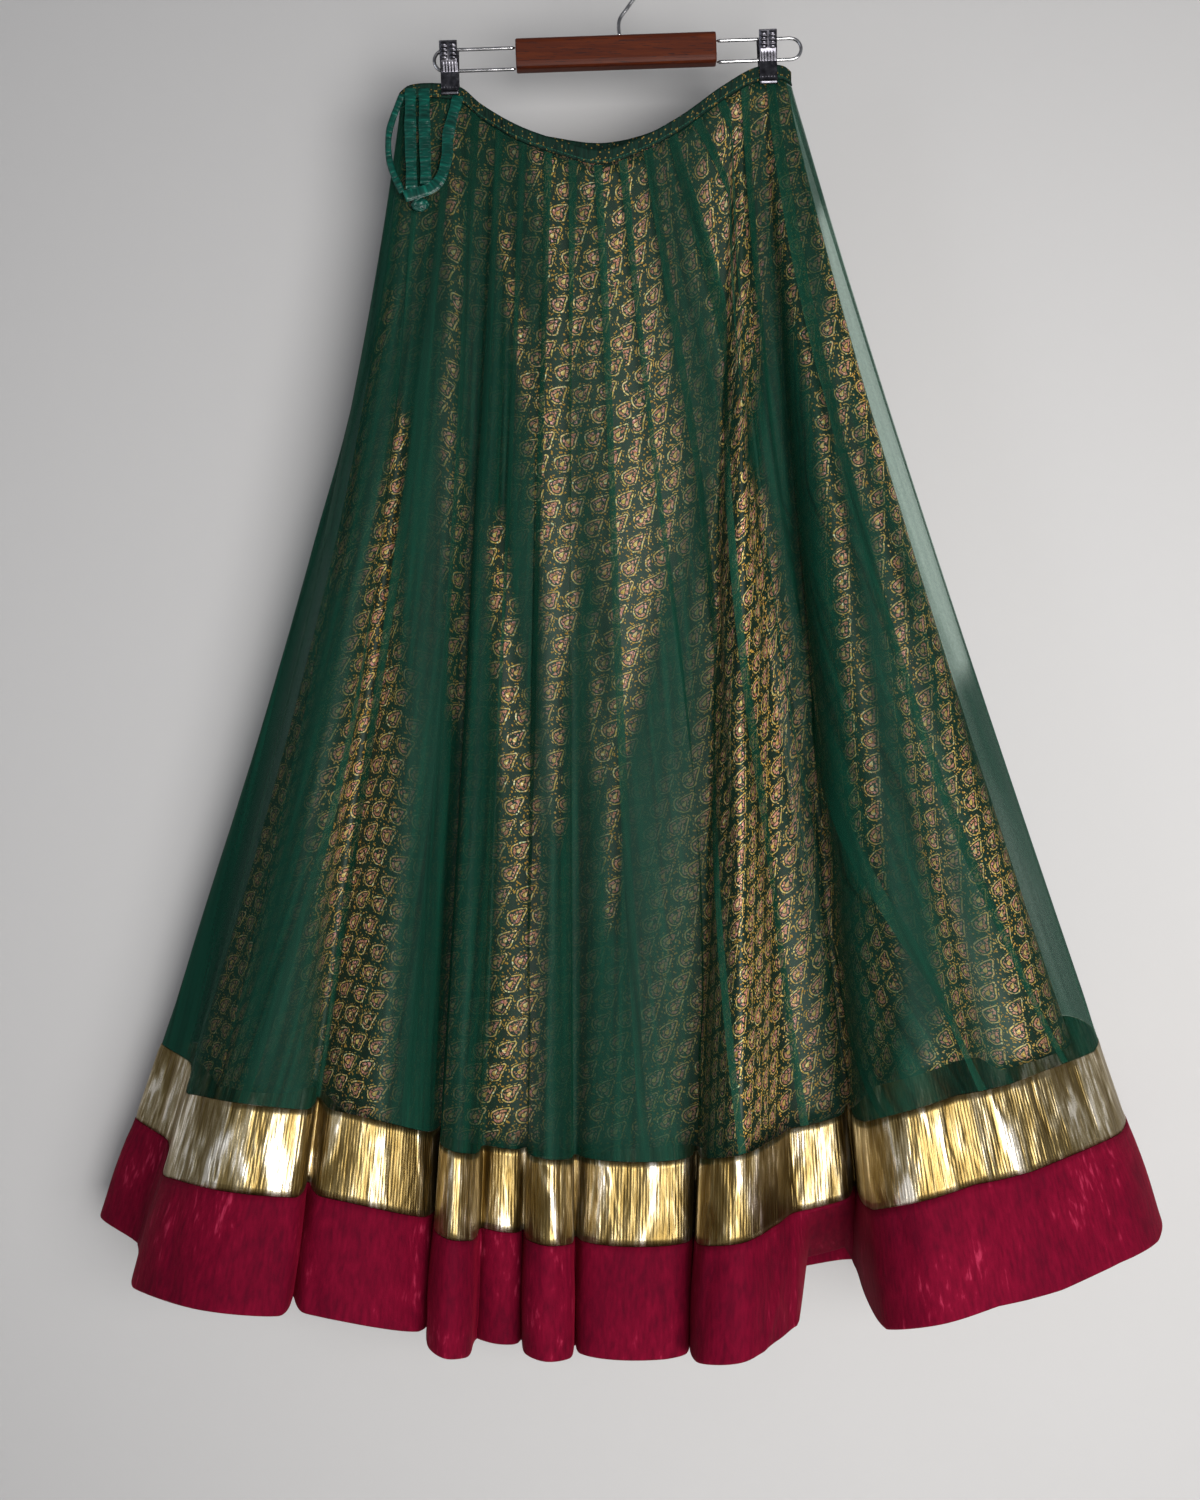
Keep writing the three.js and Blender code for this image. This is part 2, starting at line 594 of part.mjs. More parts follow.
knot.translate(KNOT.x, KNOT.y, KNOT.z);
place(knot, 'drawstring_knot', RIBBON_SATIN());

// ---- hanger
const tilt = (geometry) => geometry.rotateY(-HANGER_TILT);
// turns a profile drawn in depth and height, and extruded, so that it runs across
const ALONG_X = new THREE.Matrix4().makeBasis(new THREE.Vector3(0, 1, 0),
  new THREE.Vector3(0, 0, 1), new THREE.Vector3(1, 0, 0));
const circle = (radius) => {
  const shape = new THREE.Shape();
  shape.absarc(0, 0, radius, 0, 2 * Math.PI, false);
  return shape;
};
function wire(points, diameter, stations) {
  const path = new THREE.CatmullRomCurve3(points.map(([x, z]) => new THREE.Vector3(x, 0, z)),
    false, 'centripetal');
  return new THREE.ExtrudeGeometry(circle(diameter / 2),
    { steps: stations, curveSegments: 5, bevelEnabled: false, extrudePath: path });
}

const half = [BLOCK.depth / 2 - BLOCK.bevel, BLOCK.height / 2 - BLOCK.bevel];
const profile = new THREE.Shape();
const c = BLOCK.corner;
profile.moveTo(-half[0] + c, -half[1]);
profile.lineTo(half[0] - c, -half[1]);
profile.quadraticCurveTo(half[0], -half[1], half[0], -half[1] + c);
profile.lineTo(half[0], half[1] - c);
profile.quadraticCurveTo(half[0], half[1], half[0] - c, half[1]);
profile.lineTo(-half[0] + c, half[1]);
profile.quadraticCurveTo(-half[0], half[1], -half[0], half[1] - c);
profile.lineTo(-half[0], -half[1] + c);
profile.quadraticCurveTo(-half[0], -half[1], -half[0] + c, -half[1]);
const block = new THREE.ExtrudeGeometry(profile, { depth: BLOCK.width - 2 * BLOCK.bevel,
  bevelSize: BLOCK.bevel, bevelThickness: BLOCK.bevel, bevelSegments: 2, curveSegments: 4 });
block.translate(0, 0, -BLOCK.width / 2 + BLOCK.bevel);
block.applyMatrix4(ALONG_X);
block.translate(BLOCK.x, 0, BLOCK.z);
place(tilt(block), 'hanger_wood_block', WOOD());

const hookPath = [[0, BLOCK.z + BLOCK.height / 2 + HANGER_GAP], [0.4, -57], [8, -46]];
for (const turn of [-32, 0, 30, 60, 90, 120, 150, 180, 205]) {
  const a = turn * Math.PI / 180;
  hookPath.push([Math.cos(a) * HOOK.radius, HOOK.centreZ + Math.sin(a) * HOOK.radius]);
}
place(tilt(wire(hookPath, HOOK.wire, 24)), 'hanger_hook', STEEL());

const blockEnd = BLOCK.width / 2 + HANGER_GAP;
[['left', BLOCK.x - blockEnd, LOOP.left, 1], ['right', BLOCK.x + blockEnd, LOOP.right, -1]]
  .forEach(([side, start, far, sign]) => {
    const mid = (LOOP.top + LOOP.bottom) / 2;
    const radius = (LOOP.top - LOOP.bottom) / 2;
    const bend = far + sign * radius;
    const leg = [start, mix(start, bend, 0.5), bend + sign * 4];
    const points = leg.map((x) => [x, LOOP.top]);
    for (let turn = 0; turn <= 180; turn += 30) {
      const a = turn * Math.PI / 180;
      points.push([bend - sign * Math.sin(a) * radius, mid + Math.cos(a) * radius]);
    }
    points.push(...leg.reverse().map((x) => [x, LOOP.bottom]));
    place(tilt(wire(points, LOOP.wire, 20)), `hanger_wire_${side}`, STEEL());
  });

// ---- clips: two sheet jaws on a slide that rides on the wires
function jaw(centre, facing) {
  const inside = CLIP_STAND + WAISTBAND_WALL / 2 + JAW_CLEAR;
  const line = JAW.map((row) => [inside + row.off, row.z]);
  const shape = new THREE.Shape();
  line.forEach(([y, z], i) => (i ? shape.lineTo(y, z) : shape.moveTo(y, z)));
  line.slice().reverse().forEach(([y, z]) => shape.lineTo(y + CLIP.sheet, z));
  const plate = new THREE.ExtrudeGeometry(shape, { depth: CLIP.width, bevelEnabled: false });
  plate.translate(0, 0, -CLIP.width / 2);
  plate.applyMatrix4(ALONG_X);
  if (facing < 0) plate.rotateZ(Math.PI);
  plate.translate(centre, 0, 0);
  return plate;
}
function slide(centre) {
  const shape = new THREE.Shape();
  const deep = SLIDE.depth / 2;
  shape.moveTo(-deep, SLIDE.bottom);
  shape.lineTo(deep, SLIDE.bottom);
  shape.lineTo(deep, SLIDE.top);
  shape.lineTo(-deep, SLIDE.top);
  for (const z of [LOOP.top, LOOP.bottom]) {
    const hole = new THREE.Path();
    hole.absarc(0, z, LOOP.wire / 2 + SLIDE.holeClear, 0, 2 * Math.PI, true);
    shape.holes.push(hole);
  }
  const bar = new THREE.ExtrudeGeometry(shape, { depth: SLIDE.width, bevelEnabled: false,
    curveSegments: 6 });
  bar.translate(0, 0, -SLIDE.width / 2);
  bar.applyMatrix4(ALONG_X);
  bar.translate(centre, 0, 0);
  return bar;
}
for (const clip of CLIPS) {
  place(tilt(jaw(clip.x, -1)), `${clip.name}_front_jaw`, STEEL());
  place(tilt(jaw(clip.x, 1)), `${clip.name}_back_jaw`, STEEL());
  place(tilt(slide(clip.x)), `${clip.name}_slide`, STEEL());
}

export default root;
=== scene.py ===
# A long flared lehenga skirt of net over a foil-printed lining, with a lame band and a velvet
# border, hung by its waist from a clip hanger. Lengths in the lists below are millimetres, +Z up,
# the origin is the inside top of the hook and the skirt's front faces -Y. Objects are in metres.
import math
from functools import partial
import bpy
import numpy as np
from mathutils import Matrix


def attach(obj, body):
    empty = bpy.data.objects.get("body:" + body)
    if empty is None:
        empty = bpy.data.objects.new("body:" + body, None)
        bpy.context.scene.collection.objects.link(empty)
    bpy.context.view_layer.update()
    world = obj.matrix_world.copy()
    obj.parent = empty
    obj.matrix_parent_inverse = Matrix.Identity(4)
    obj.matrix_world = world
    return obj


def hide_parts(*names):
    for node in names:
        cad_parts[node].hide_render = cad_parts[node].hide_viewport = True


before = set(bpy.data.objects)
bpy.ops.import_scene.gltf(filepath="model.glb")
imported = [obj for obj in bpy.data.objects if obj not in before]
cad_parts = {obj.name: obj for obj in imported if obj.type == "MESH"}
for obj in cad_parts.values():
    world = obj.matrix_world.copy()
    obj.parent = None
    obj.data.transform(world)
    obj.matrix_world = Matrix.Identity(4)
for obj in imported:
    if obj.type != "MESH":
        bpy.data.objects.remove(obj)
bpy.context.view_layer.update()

SKIRT_LENGTH = 1010  # casing, net, gold band and velvet border together
GORES = 32
LINING_GORES = 16
WAISTBAND_HEIGHT = 12
GOLD_HEIGHT = 69
VELVET_HEIGHT = 92
SEAM_GAP = 0.46
# how late the cloth leaves the upright at its left and right ends, the lining a little later
FLARE_LEFT, FLARE_RIGHT = 1.27, 1.06
LINING_FLARES_LATER = 0.07
STRAIGHT_AT_WAIST = 0.008
LINING_STOP = 0.85  # share of the fall at which the lining is hemmed
CLIP_STAND = 3.2  # from the casing's middle plane to its cloth, where the clips grip it
CASING_WALL = 1.6
HANGER_TILT = math.radians(2)
# rows down a cloth, and columns across a gore or a band
NET_ROWS, NET_COLUMNS = 116, 22
LINING_ROWS, LINING_COLUMNS = 110, 24
GOLD_COLUMNS, VELVET_COLUMNS, CASING_COLUMNS = 600, 520, 420
# seam allowances: their width at the waist and at the hem, and how far they lie behind the net
ALLOWANCE_TOP, ALLOWANCE_HEM, ALLOWANCE_BEHIND = 6.0, 8.0, 0.7
# the print: a half-drop lattice that climbs to the right, a leaning buti, and its beads
LATTICE, LATTICE_CLIMB = (22.0, 18.5), math.radians(13)
BUTI_LENGTH, BUTI_HALF_WIDTH, BUTI_BEND, BUTI_LEAN = 11.5, 5.2, 3.0, math.radians(48)
BEAD_PITCH = 1.5
KNIT_HOLE = 2.6
# the casing's machine stitches: how far down they run, and a stitch with its gap
STITCH_ROW, STITCH_LENGTH = 9.6, 3.0
HOOK_WIRE, LOOP_WIRE = 3.4, 3.0
HOOK_BEND, HOOK_MIDDLE = 21.7, -20  # the bend's radius, and the height of its middle


# ---- camera: level, straight on to the front, 1.5 m off
lens = bpy.data.cameras.new("front_view")
lens.sensor_width = 36
lens.lens = 42.35
lens.clip_start, lens.clip_end = 0.05, 30
camera = bpy.data.objects.new("front_view", lens)
camera.location = (-0.014, -1.5, -0.6769)
camera.rotation_euler = (math.pi / 2, 0, 0)
bpy.context.scene.collection.objects.link(camera)
bpy.context.scene.camera = camera


# ---- curves and meshes
def spline(points, closed):
    """A centripetal Catmull-Rom curve through the points, read in steps of one per point."""
    pts = np.array(points, float)
    n = len(pts)
    if closed:
        ring = np.concatenate([pts[-1:], pts, pts[:2]])
    else:
        ring = np.concatenate([2 * pts[:1] - pts[1:2], pts, 2 * pts[-1:] - pts[-2:-1]])

    def at(s):
        s = np.mod(s, n) if closed else np.clip(s, 0, n - 1)
        i = np.minimum(np.floor(s).astype(int), n - 1 if closed else n - 2)
        w = (s - i)[..., None]
        p0, p1, p2, p3 = (ring[i + k] for k in range(4))
        g0, g1, g2 = [np.maximum(((b - a) ** 2).sum(-1), 1e-12)[..., None] ** 0.25
                      for a, b in ((p0, p1), (p1, p2), (p2, p3))]
        t1 = ((p1 - p0) / g0 - (p2 - p0) / (g0 + g1) + (p2 - p1) / g1) * g1
        t2 = ((p2 - p1) / g1 - (p3 - p1) / (g1 + g2) + (p3 - p2) / g2) * g1
        return (p1 + t1 * w + (3 * (p2 - p1) - 2 * t1 - t2) * w ** 2
                + (2 * (p1 - p2) + t1 + t2) * w ** 3)
    return at, n


def run_along(points):
    """Length run from the first point to each one."""
    return np.concatenate([[0], np.cumsum(np.linalg.norm(np.diff(points, axis=0), axis=1))])


def plan_ruler(curve, n):
    """Running length in plan along a closed curve: share at a place, place at a share, total."""
    places = np.linspace(0, n, n * 24 + 1)
    run = run_along(curve(places)[:, :2])
    total = run[-1]

    def share_at(s):
        return np.floor(s / n) + np.interp(np.mod(s, n), places, run) / total

    def place_at(share):
        return np.floor(share) * n + np.interp(np.mod(share, 1) * total, run, places)
    return share_at, place_at, total


def mix(a, b, t):
    return a + (b - a) * t


def soft_step(x):
    x = np.clip(x, 0, 1)
    return x * x * (3 - 2 * x)


def mesh_piece(name, verts_mm, faces, material, uv=None, one_layer_and_lit=None):
    mesh = bpy.data.meshes.new(name)
    faces = np.asarray(faces, np.int32)
    corners = faces.shape[1]
    mesh.vertices.add(len(verts_mm))
    mesh.vertices.foreach_set("co", (np.asarray(verts_mm, np.float32) / 1000).ravel())
    mesh.loops.add(faces.size)
    mesh.loops.foreach_set("vertex_index", faces.ravel())
    mesh.polygons.add(len(faces))
    mesh.polygons.foreach_set("loop_start", np.arange(len(faces), dtype=np.int32) * corners)
    mesh.polygons.foreach_set("use_smooth", np.ones(len(faces), bool))
    if uv is not None:
        layer = mesh.uv_layers.new(name="cut_mm")
        layer.data.foreach_set("uv", np.asarray(uv, np.float32).ravel())
    mesh.update(calc_edges=True)
    if one_layer_and_lit is not None:
        share = mesh.attributes.new("one_layer_and_lit", "FLOAT", "POINT")
        values = np.resize(one_layer_and_lit.ravel(), len(verts_mm)).astype(np.float32)
        share.data.foreach_set("value", values)
    mesh.materials.append(material)
    piece = bpy.data.objects.new(name, mesh)
    bpy.context.scene.collection.objects.link(piece)
    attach(piece, "root")
    return piece


def quads(rows, cols):
    r, c = np.meshgrid(np.arange(rows - 1), np.arange(cols - 1), indexing="ij")
    a = (r * cols + c).ravel()
    return np.stack([a, a + cols, a + cols + 1, a + 1], 1)


def cloth_faces(grid, normal, wall, u_left, u_right, down):
    """Corners, faces and cut-out places of one cloth. wall is 0 for a single skin."""
    rows, cols = grid.shape[:2]
    flat = quads(rows, cols)
    below = np.stack([down[:-1, :-1], down[1:, :-1], down[1:, 1:], down[:-1, 1:]], 2)
    across = np.stack([u_left[:-1], u_left[1:], u_right[1:], u_right[:-1]], 2)
    uv = np.stack([across, below], 3).reshape(-1, 4, 2)
    if np.isscalar(wall) and wall == 0:
        return grid.reshape(-1, 3), flat, uv
    n = rows * cols
    outer = grid + normal * wall / 2
    inner = grid - normal * wall / 2
    ids = np.arange(n).reshape(rows, cols)
    loop = np.concatenate([ids[:, 0], ids[-1, 1:], ids[-2::-1, -1], ids[0, -2:0:-1]])
    nxt = np.roll(loop, -1)
    rim = np.stack([nxt, loop, loop + n, nxt + n], 1)
    place = np.zeros((n, 2))
    place[flat.ravel()] = uv.reshape(-1, 2)
    rim_uv = place[rim % n]
    faces = np.concatenate([flat, flat[:, ::-1] + n, rim])
    uv = np.concatenate([uv, uv[:, ::-1], rim_uv])
    return np.concatenate([outer.reshape(-1, 3), inner.reshape(-1, 3)]), faces, uv


# ---- waist and the hanging cloths
# waist edge in the clips: across, height, stand-off of front and back, rise of the back edge
WAIST = [(-184, -119, 0, 0, 0), (-176, -114, 4.4, 4.4, 0), (-152, -111.5, 3.2, 3.2, 0),
         (-132, -115, 3.2, 3.2, 0), (-114, -131, 8, 6, 2), (-82, -152, 16, 9, 6),
         (-48, -165.5, 20, 11, 12), (-14, -174, 22, 12, 17), (20, -163, 20, 12, 12),
         (54, -143, 15, 10, 6), (90, -115, 8, 6.5, 2), (118, -98, 3.2, 3.2, 0),
         (137, -96, 3.2, 3.2, 0), (143, -97.5, 2.6, 2.6, 0), (148, -101, 0, 0, 0)]
# folds at the hem: side, edge, crest, edge, dip; crest and dip at the waist; drop, with the dip's
# own where it isn't half; kick in degrees
NET_FOLDS = [
    (0, (-397, -50), (-333, -108), (-268, -100), (-264, -62), -178, -168, 16, 0),
    (0, (-252, -84), (-204, -88), (-162, -60), (-156, -18), -142, -108, 15, 0),
    (0, (-152, -80), (-136, -98), (-121, -80), (-117, -24), -98, -88, 8, 0),
    (0, (-110, -32), (-98, -36), (-85, -32), (-80, -20), -76, -64, 2, 0),
    (0, (-74, -60), (-57, -74), (-39, -60), (-35, -12), -50, -38, -2, 0),
    (0, (-28, -40), (14, -52), (56, -44), (62, -4), 30, 98, -5, 0),
    (0, (67, -90), (96, -106), (130, -70), (150, -38), 108, 115, -4, 0),
    (0, (166, -32), (182, -32), (200, -28), (211, 0), 118, 123, 0, 50),
    (0, (212, -110), (246, -148), (292, -144), (316, -136), 128, 133, (15, 19), 0),
    (0, (346, -126), (392, -100), (444, -52), (460, 0), 139, 147, 22, 0),
    (1, (450, 62), (408, 96), (364, 88), (350, 46), 128, 108, 10, 0),
    (1, (336, 88), (290, 104), (242, 92), (228, 40), 88, 66, 2, 0),
    (1, (213, 90), (168, 98), (120, 90), (105, 46), 45, 24, 4, 0),
    (1, (92, 84), (46, 106), (1, 94), (-14, 40), 3, -18, -2, 0),
    (1, (-28, 88), (-78, 97), (-126, 92), (-141, 46), -40, -60, 2, 0),
    (1, (-154, 84), (-202, 103), (-250, 92), (-263, 40), -82, -103, 5, 0),
    (1, (-277, 88), (-322, 98), (-368, 84), (-384, 48), -124, -143, 2, 0),
    (1, (-397, 78), (-431, 86), (-454, 60), (-410, 14), -162, -184, 12, 0)]
LINING_FOLDS = [
    (0, (-366, -28), (-334, -76), (-300, -58), (-280, -4), -172, -160, 0, 0),
    (0, (-246, -40), (-212, -66), (-182, -40), (-162, 6), -142, -112, 4, 0),
    (0, (-112, -6), (-94, -11), (-66, -9), (-32, 9), -78, -40, 0, 0),
    (0, (0, 12), (22, 12), (46, 13), (64, 11), 26, 96, -10, 0),
    (0, (78, -40), (98, -82), (122, -46), (146, 0), 106, 113, 6, 0),
    (0, (168, 10), (184, 11), (200, 12), (217, 15), 118, 124.5, 0, 0),
    (0, (232, -52), (264, -104), (300, -96), (330, -66), 129, 133, -22, 0),
    (0, (352, -60), (384, -58), (422, -30), (437, 10), 138, 144, 10, 0),
    (1, (428, 40), (402, 62), (372, 55), (350, 26), 126, 106, 0, 0),
    (1, (318, 54), (288, 74), (256, 54), (228, 22), 86, 65, 4, 0),
    (1, (200, 52), (168, 70), (134, 52), (105, 26), 44, 23, 0, 0),
    (1, (78, 52), (46, 76), (14, 54), (-14, 24), 3, -18, -3, 0),
    (1, (-42, 52), (-78, 70), (-112, 54), (-141, 26), -39, -59, 0, 0),
    (1, (-168, 52), (-202, 73), (-236, 54), (-263, 22), -80, -101, 3, 0),
    (1, (-288, 50), (-318, 68), (-346, 50), (-364, 28), -121, -141, 0, 0),
    (1, (-376, 22), (-402, 48), (-412, 40), (-388, 8), -160, -181, 0, 0)]


class Waist:
    """The waist edge as a closed loop, front from left to right and then back."""

    def __init__(self, pinch, swell, side_inset):
        last = len(WAIST) - 1
        stand = [(pinch + (f - CLIP_STAND) * swell, pinch + (b - CLIP_STAND) * swell)
                 for _, _, f, b, _ in WAIST]
        front = [(x + (side_inset if i == 0 else -side_inset if i == last else 0),
                  -stand[i][0] if i % last else 0, z) for i, (x, z, *_) in enumerate(WAIST)]
        back = [(WAIST[i][0], stand[i][1], WAIST[i][1] + WAIST[i][4])
                for i in range(last - 1, 0, -1)]
        self.curve, n = spline(front + back, True)
        self.share_of, self.place_of, self.total = plan_ruler(self.curve, n)
        self.middle = float(self.share_of(last))

    def at(self, share):
        return self.curve(self.place_of(share))

    def share_across(self, side, x):
        lo, hi = (0, self.middle) if side == 0 else (self.middle, 1)
        for _ in range(40):
            mid = (lo + hi) / 2
            if (float(self.at(np.array(mid))[0]) < x) == (side == 0):
                lo = mid
            else:
                hi = mid
        return (lo + hi) / 2


class HangingCloth:
    """A cloth that falls straight from each place on the waist to one at the hem."""

    def __init__(self, folds, waist, later):
        plan, shares, drops, kicks = [], [], [], []
        for i, (side, edge, crest, far, dip, spring, sink, drop, kick) in enumerate(folds):
            before = folds[i - 1]
            start = waist.share_across(before[0], before[6])
            top = waist.share_across(side, spring)
            end = waist.share_across(side, sink)
            if before[0] != side:
                start = 0 if side == 0 else waist.middle
            if i == len(folds) - 1:
                end = 1
            plan += [edge, crest, far, dip]
            shares += [mix(start, top, 0.55), top, mix(top, end, 0.45), end]
            drop, low = drop if isinstance(drop, tuple) else (drop, drop / 2)
            drops += [drop, drop, drop, low]
            kick = math.radians(kick)
            kicks += [kick, kick, kick, kick / 2]
        self.waist, self.later = waist, later
        self.n = n = len(plan)
        self.curve, _ = spline([(x, y, 0) for x, y in plan], True)
        self.share_of, self.place_of, self.hem_length = plan_ruler(self.curve, n)
        knots = np.arange(n + 1)
        self.tables = {"waist": (knots, np.array(shares + [shares[0] + 1])),
                       "drop": (knots, np.array(drops + drops[:1])),
                       "kick": (knots, np.array(kicks + kicks[:1]))}
        front = sum(1 for fold in folds if fold[0] == 0)
        shift = shares[0] - self.share_of(0.0)
        self.level = (waist.middle - self.share_of(4.0 * front - 1) + shift) / 2
        fine = np.linspace(-n, 2 * n, 3 * n * 16 + 1)
        self.waist_places = (self.read("waist", fine), fine)

    def read(self, name, s):
        turns = np.floor(s / self.n)
        value = np.interp(s - turns * self.n, *self.tables[name])
        return value + turns if name == "waist" else value

    def hem(self, s):
        foot = self.curve(s)
        top = self.waist.at(self.share_of(s) + self.level)
        run = ((foot - top)[..., :2] ** 2).sum(-1)
        foot[..., 2] = top[..., 2] - np.sqrt(SKIRT_LENGTH ** 2 - run) - self.read("drop", s)
        return foot

    def length(self, s):
        return np.linalg.norm(self.hem(s) - self.waist.at(self.read("waist", s)), axis=-1)

    def point(self, s, v):
        top, foot = self.waist.at(self.read("waist", s)), self.hem(s)
        v = v[..., None]
        across = (top[..., :1] - WAIST[0][0]) / (WAIST[-1][0] - WAIST[0][0])
        below = np.maximum(v - STRAIGHT_AT_WAIST, 0) / (1 - STRAIGHT_AT_WAIST)
        flare = below ** (mix(FLARE_LEFT, FLARE_RIGHT, across) + self.later)
        p = np.concatenate([mix(top[..., :2], foot[..., :2], flare),
                            mix(top[..., 2:], foot[..., 2:], v)], -1)
        reach = np.linalg.norm(foot - top, axis=-1)
        border = np.maximum(VELVET_HEIGHT - (1 - v[..., 0]) * reach, 0)
        kick = self.read("kick", s)
        p[..., 1] += border * np.sin(kick)
        p[..., 2] += border * (1 - np.cos(kick))
        return p

    def waist_place(self, share):
        return np.interp(share, *self.waist_places)

    def hem_place(self, share):
        return self.place_of(share - self.level)

    def from_seams(self, share, q):
        """The place that lies at a share of the way round, counted in gores, at height q."""
        return mix(self.waist_place(share), self.hem_place(share), q)


net = HangingCloth(NET_FOLDS, Waist(pinch=CLIP_STAND, swell=1, side_inset=0), 0)
lining = HangingCloth(LINING_FOLDS, Waist(pinch=1.3, swell=0.74, side_inset=3.3),
                      LINING_FLARES_LATER)


def part_of(cloth, s, mm):
    return mm / cloth.length(s)


def net_fall(s, q):
    top = part_of(net, s, WAISTBAND_HEIGHT + 1.5 * SEAM_GAP)
    return mix(top, 1 - part_of(net, s, GOLD_HEIGHT + VELVET_HEIGHT + SEAM_GAP), q)


def gold_fall(s, q):
    return mix(1 - part_of(net, s, GOLD_HEIGHT + VELVET_HEIGHT),
               1 - part_of(net, s, VELVET_HEIGHT + SEAM_GAP), q)


def velvet_fall(s, q):
    return mix(1 - part_of(net, s, VELVET_HEIGHT), 1, q)


def waistband_fall(s, q):
    return q * part_of(net, s, WAISTBAND_HEIGHT)


def lining_fall(s, q):
    return mix(part_of(lining, s, WAISTBAND_HEIGHT + 1.5 * SEAM_GAP), LINING_STOP, q)


def creased(share, q, creases, girth):
    """Stand-off in mm from soft troughs and ridges, listed one by one.
    Each crease: where it starts and ends (share of the way round), top and bottom of its run,
    width in mm and depth in mm (a minus sign is a trough)."""
    out = np.zeros_like(share)
    for here, there, top, bottom, wide, deep in creases:
        t = np.clip((q - top) / (bottom - top), 0, 1)
        off = (share - mix(here, there, t)) * girth / wide
        ends = soft_step((q - top) / 0.12 + 0.5) * soft_step((bottom - q) / 0.12 + 0.5)
        out += deep * np.exp(-off ** 2) * ends
    return out


def laid(cloth, share, q, fall, place, relief):
    """Points and outward normals of a cloth at the given shares and heights."""
    def at(a, b):
        s = place(a, b)
        return cloth.point(s, fall(s, b))
    base = at(share, q)
    d_share, d_q = 2e-4, 2e-3
    along = at(share + d_share, q) - at(share - d_share, q)
    down = at(share, q + d_q) - at(share, q - d_q)
    out = np.cross(down, along)
    out /= np.maximum(np.linalg.norm(out, axis=-1, keepdims=True), 1e-9)
    return base + out * relief(share, q)[..., None], out


GORE_SHIFT = 173.0  # each gore's print starts elsewhere


def running(grid, per, upright=False):
    """Flat places in mm on each gore: across from its middle, and down from its top."""
    step = np.linalg.norm(np.diff(grid, axis=1), axis=-1)
    if upright:  # a band cut in one length, its threads square to its edges
        step = np.broadcast_to(step.mean(0), step.shape)
    run = np.concatenate([np.zeros((len(grid), 1)), np.cumsum(step, axis=1)], 1)
    cols = run.shape[1]
    gore = np.arange(cols - 1) // per
    middle = run[:, np.minimum(gore * per + per // 2, cols - 1)]
    shift = GORE_SHIFT * gore
    left, right = run[:, :-1] - middle + shift, run[:, 1:] - middle + shift
    fall = np.linalg.norm(np.diff(grid, axis=0), axis=-1)
    down = np.concatenate([np.zeros((1, cols)), np.cumsum(fall, axis=0)], 0)
    return left, right, down


def cloth_piece(name, cloth, span, cols, rows, fall, place, relief, wall, per, material,
                heights=None):
    share, q = np.meshgrid(np.linspace(*span, cols + 1),
                           np.linspace(0, 1, rows + 1) if heights is None else heights)
    grid, out = laid(cloth, share, q, fall, place, relief)
    left, right, down = running(grid, per, upright=per == cols)
    verts, faces, uv = cloth_faces(grid, out, wall, left, right, down)
    return mesh_piece(name, verts, faces, material, uv, one_layer_and_lit(grid))


# where the net hangs in one layer, close on the print, and elsewhere it is folded over itself.
# The strips are also painted light: the print gets painted glints and a painted ground in them,
# and painted shade between them. Each strip: how clear it is, then height, place across and half
# width in mm down its run
FRONT_LIT_STRIPS = [
    (0.6, [(-520, -246, 10), (-636, -268, 11), (-758, -289, 11), (-879, -319, 18),
           (-951, -325, 24)]),
    (0.5, [(-302, -193, 7), (-403, -217, 8), (-520, -232, 10)]),
    (1.0, [(-412, -181, 7), (-470, -189, 10), (-554, -197, 16), (-636, -201, 25), (-718, -210, 34),
           (-879, -216, 31), (-968, -216, 29)]),
    (0.55, [(-147, -136, 8), (-302, -135, 8), (-386, -141, 8), (-470, -134, 12), (-636, -135, 7)]),
    (0.7, [(-242, -95, 7), (-327, -81, 10), (-386, -72, 8)]),
    (0.95, [(-504, -100, 8), (-595, -92, 12), (-718, -81, 15), (-799, -79, 18), (-879, -82, 21),
            (-984, -91, 26)]),
    (0.85, [(-156, -60, 17), (-233, -47, 20), (-302, -41, 23), (-386, -54, 25), (-470, -50, 23),
            (-554, -45, 15), (-636, -51, 8), (-726, -49, 6)]),
    (0.85, [(-165, -6, 38), (-259, 3, 43), (-344, 9, 50), (-428, 21, 51), (-512, 19, 38),
           (-595, 14, 18), (-677, 1, 10), (-807, -4, 5)]),
    (0.5, [(-587, -17, 7), (-685, -14, 7)]),
    (0.85, [(-122, 104, 19), (-190, 93, 29), (-259, 93, 33), (-327, 104, 23), (-420, 104, 7)]),
    (1.0, [(-412, 92, 6), (-470, 106, 24), (-554, 107, 36), (-636, 115, 44), (-718, 112, 52),
           (-879, 119, 64), (-960, 123, 66), (-1010, 123, 66)]),
    (0.8, [(-122, 127, 8), (-216, 141, 12), (-302, 154, 12), (-386, 169, 8), (-470, 180, 10),
           (-636, 197, 11), (-718, 203, 13), (-782, 208, 8), (-847, 214, 16), (-927, 212, 8)]),
    (0.8, [(-327, 178, 7), (-428, 197, 7), (-504, 225, 8), (-636, 244, 16), (-799, 266, 13),
           (-879, 277, 16), (-947, 265, 29)]),
    (0.9, [(-570, 257, 7), (-636, 277, 11), (-685, 284, 16), (-742, 302, 29), (-799, 323, 31),
           (-935, 341, 40)]),
    (1.0, [(-230, 178, 10), (-366, 208, 22), (-500, 254, 18), (-600, 288, 10)])]
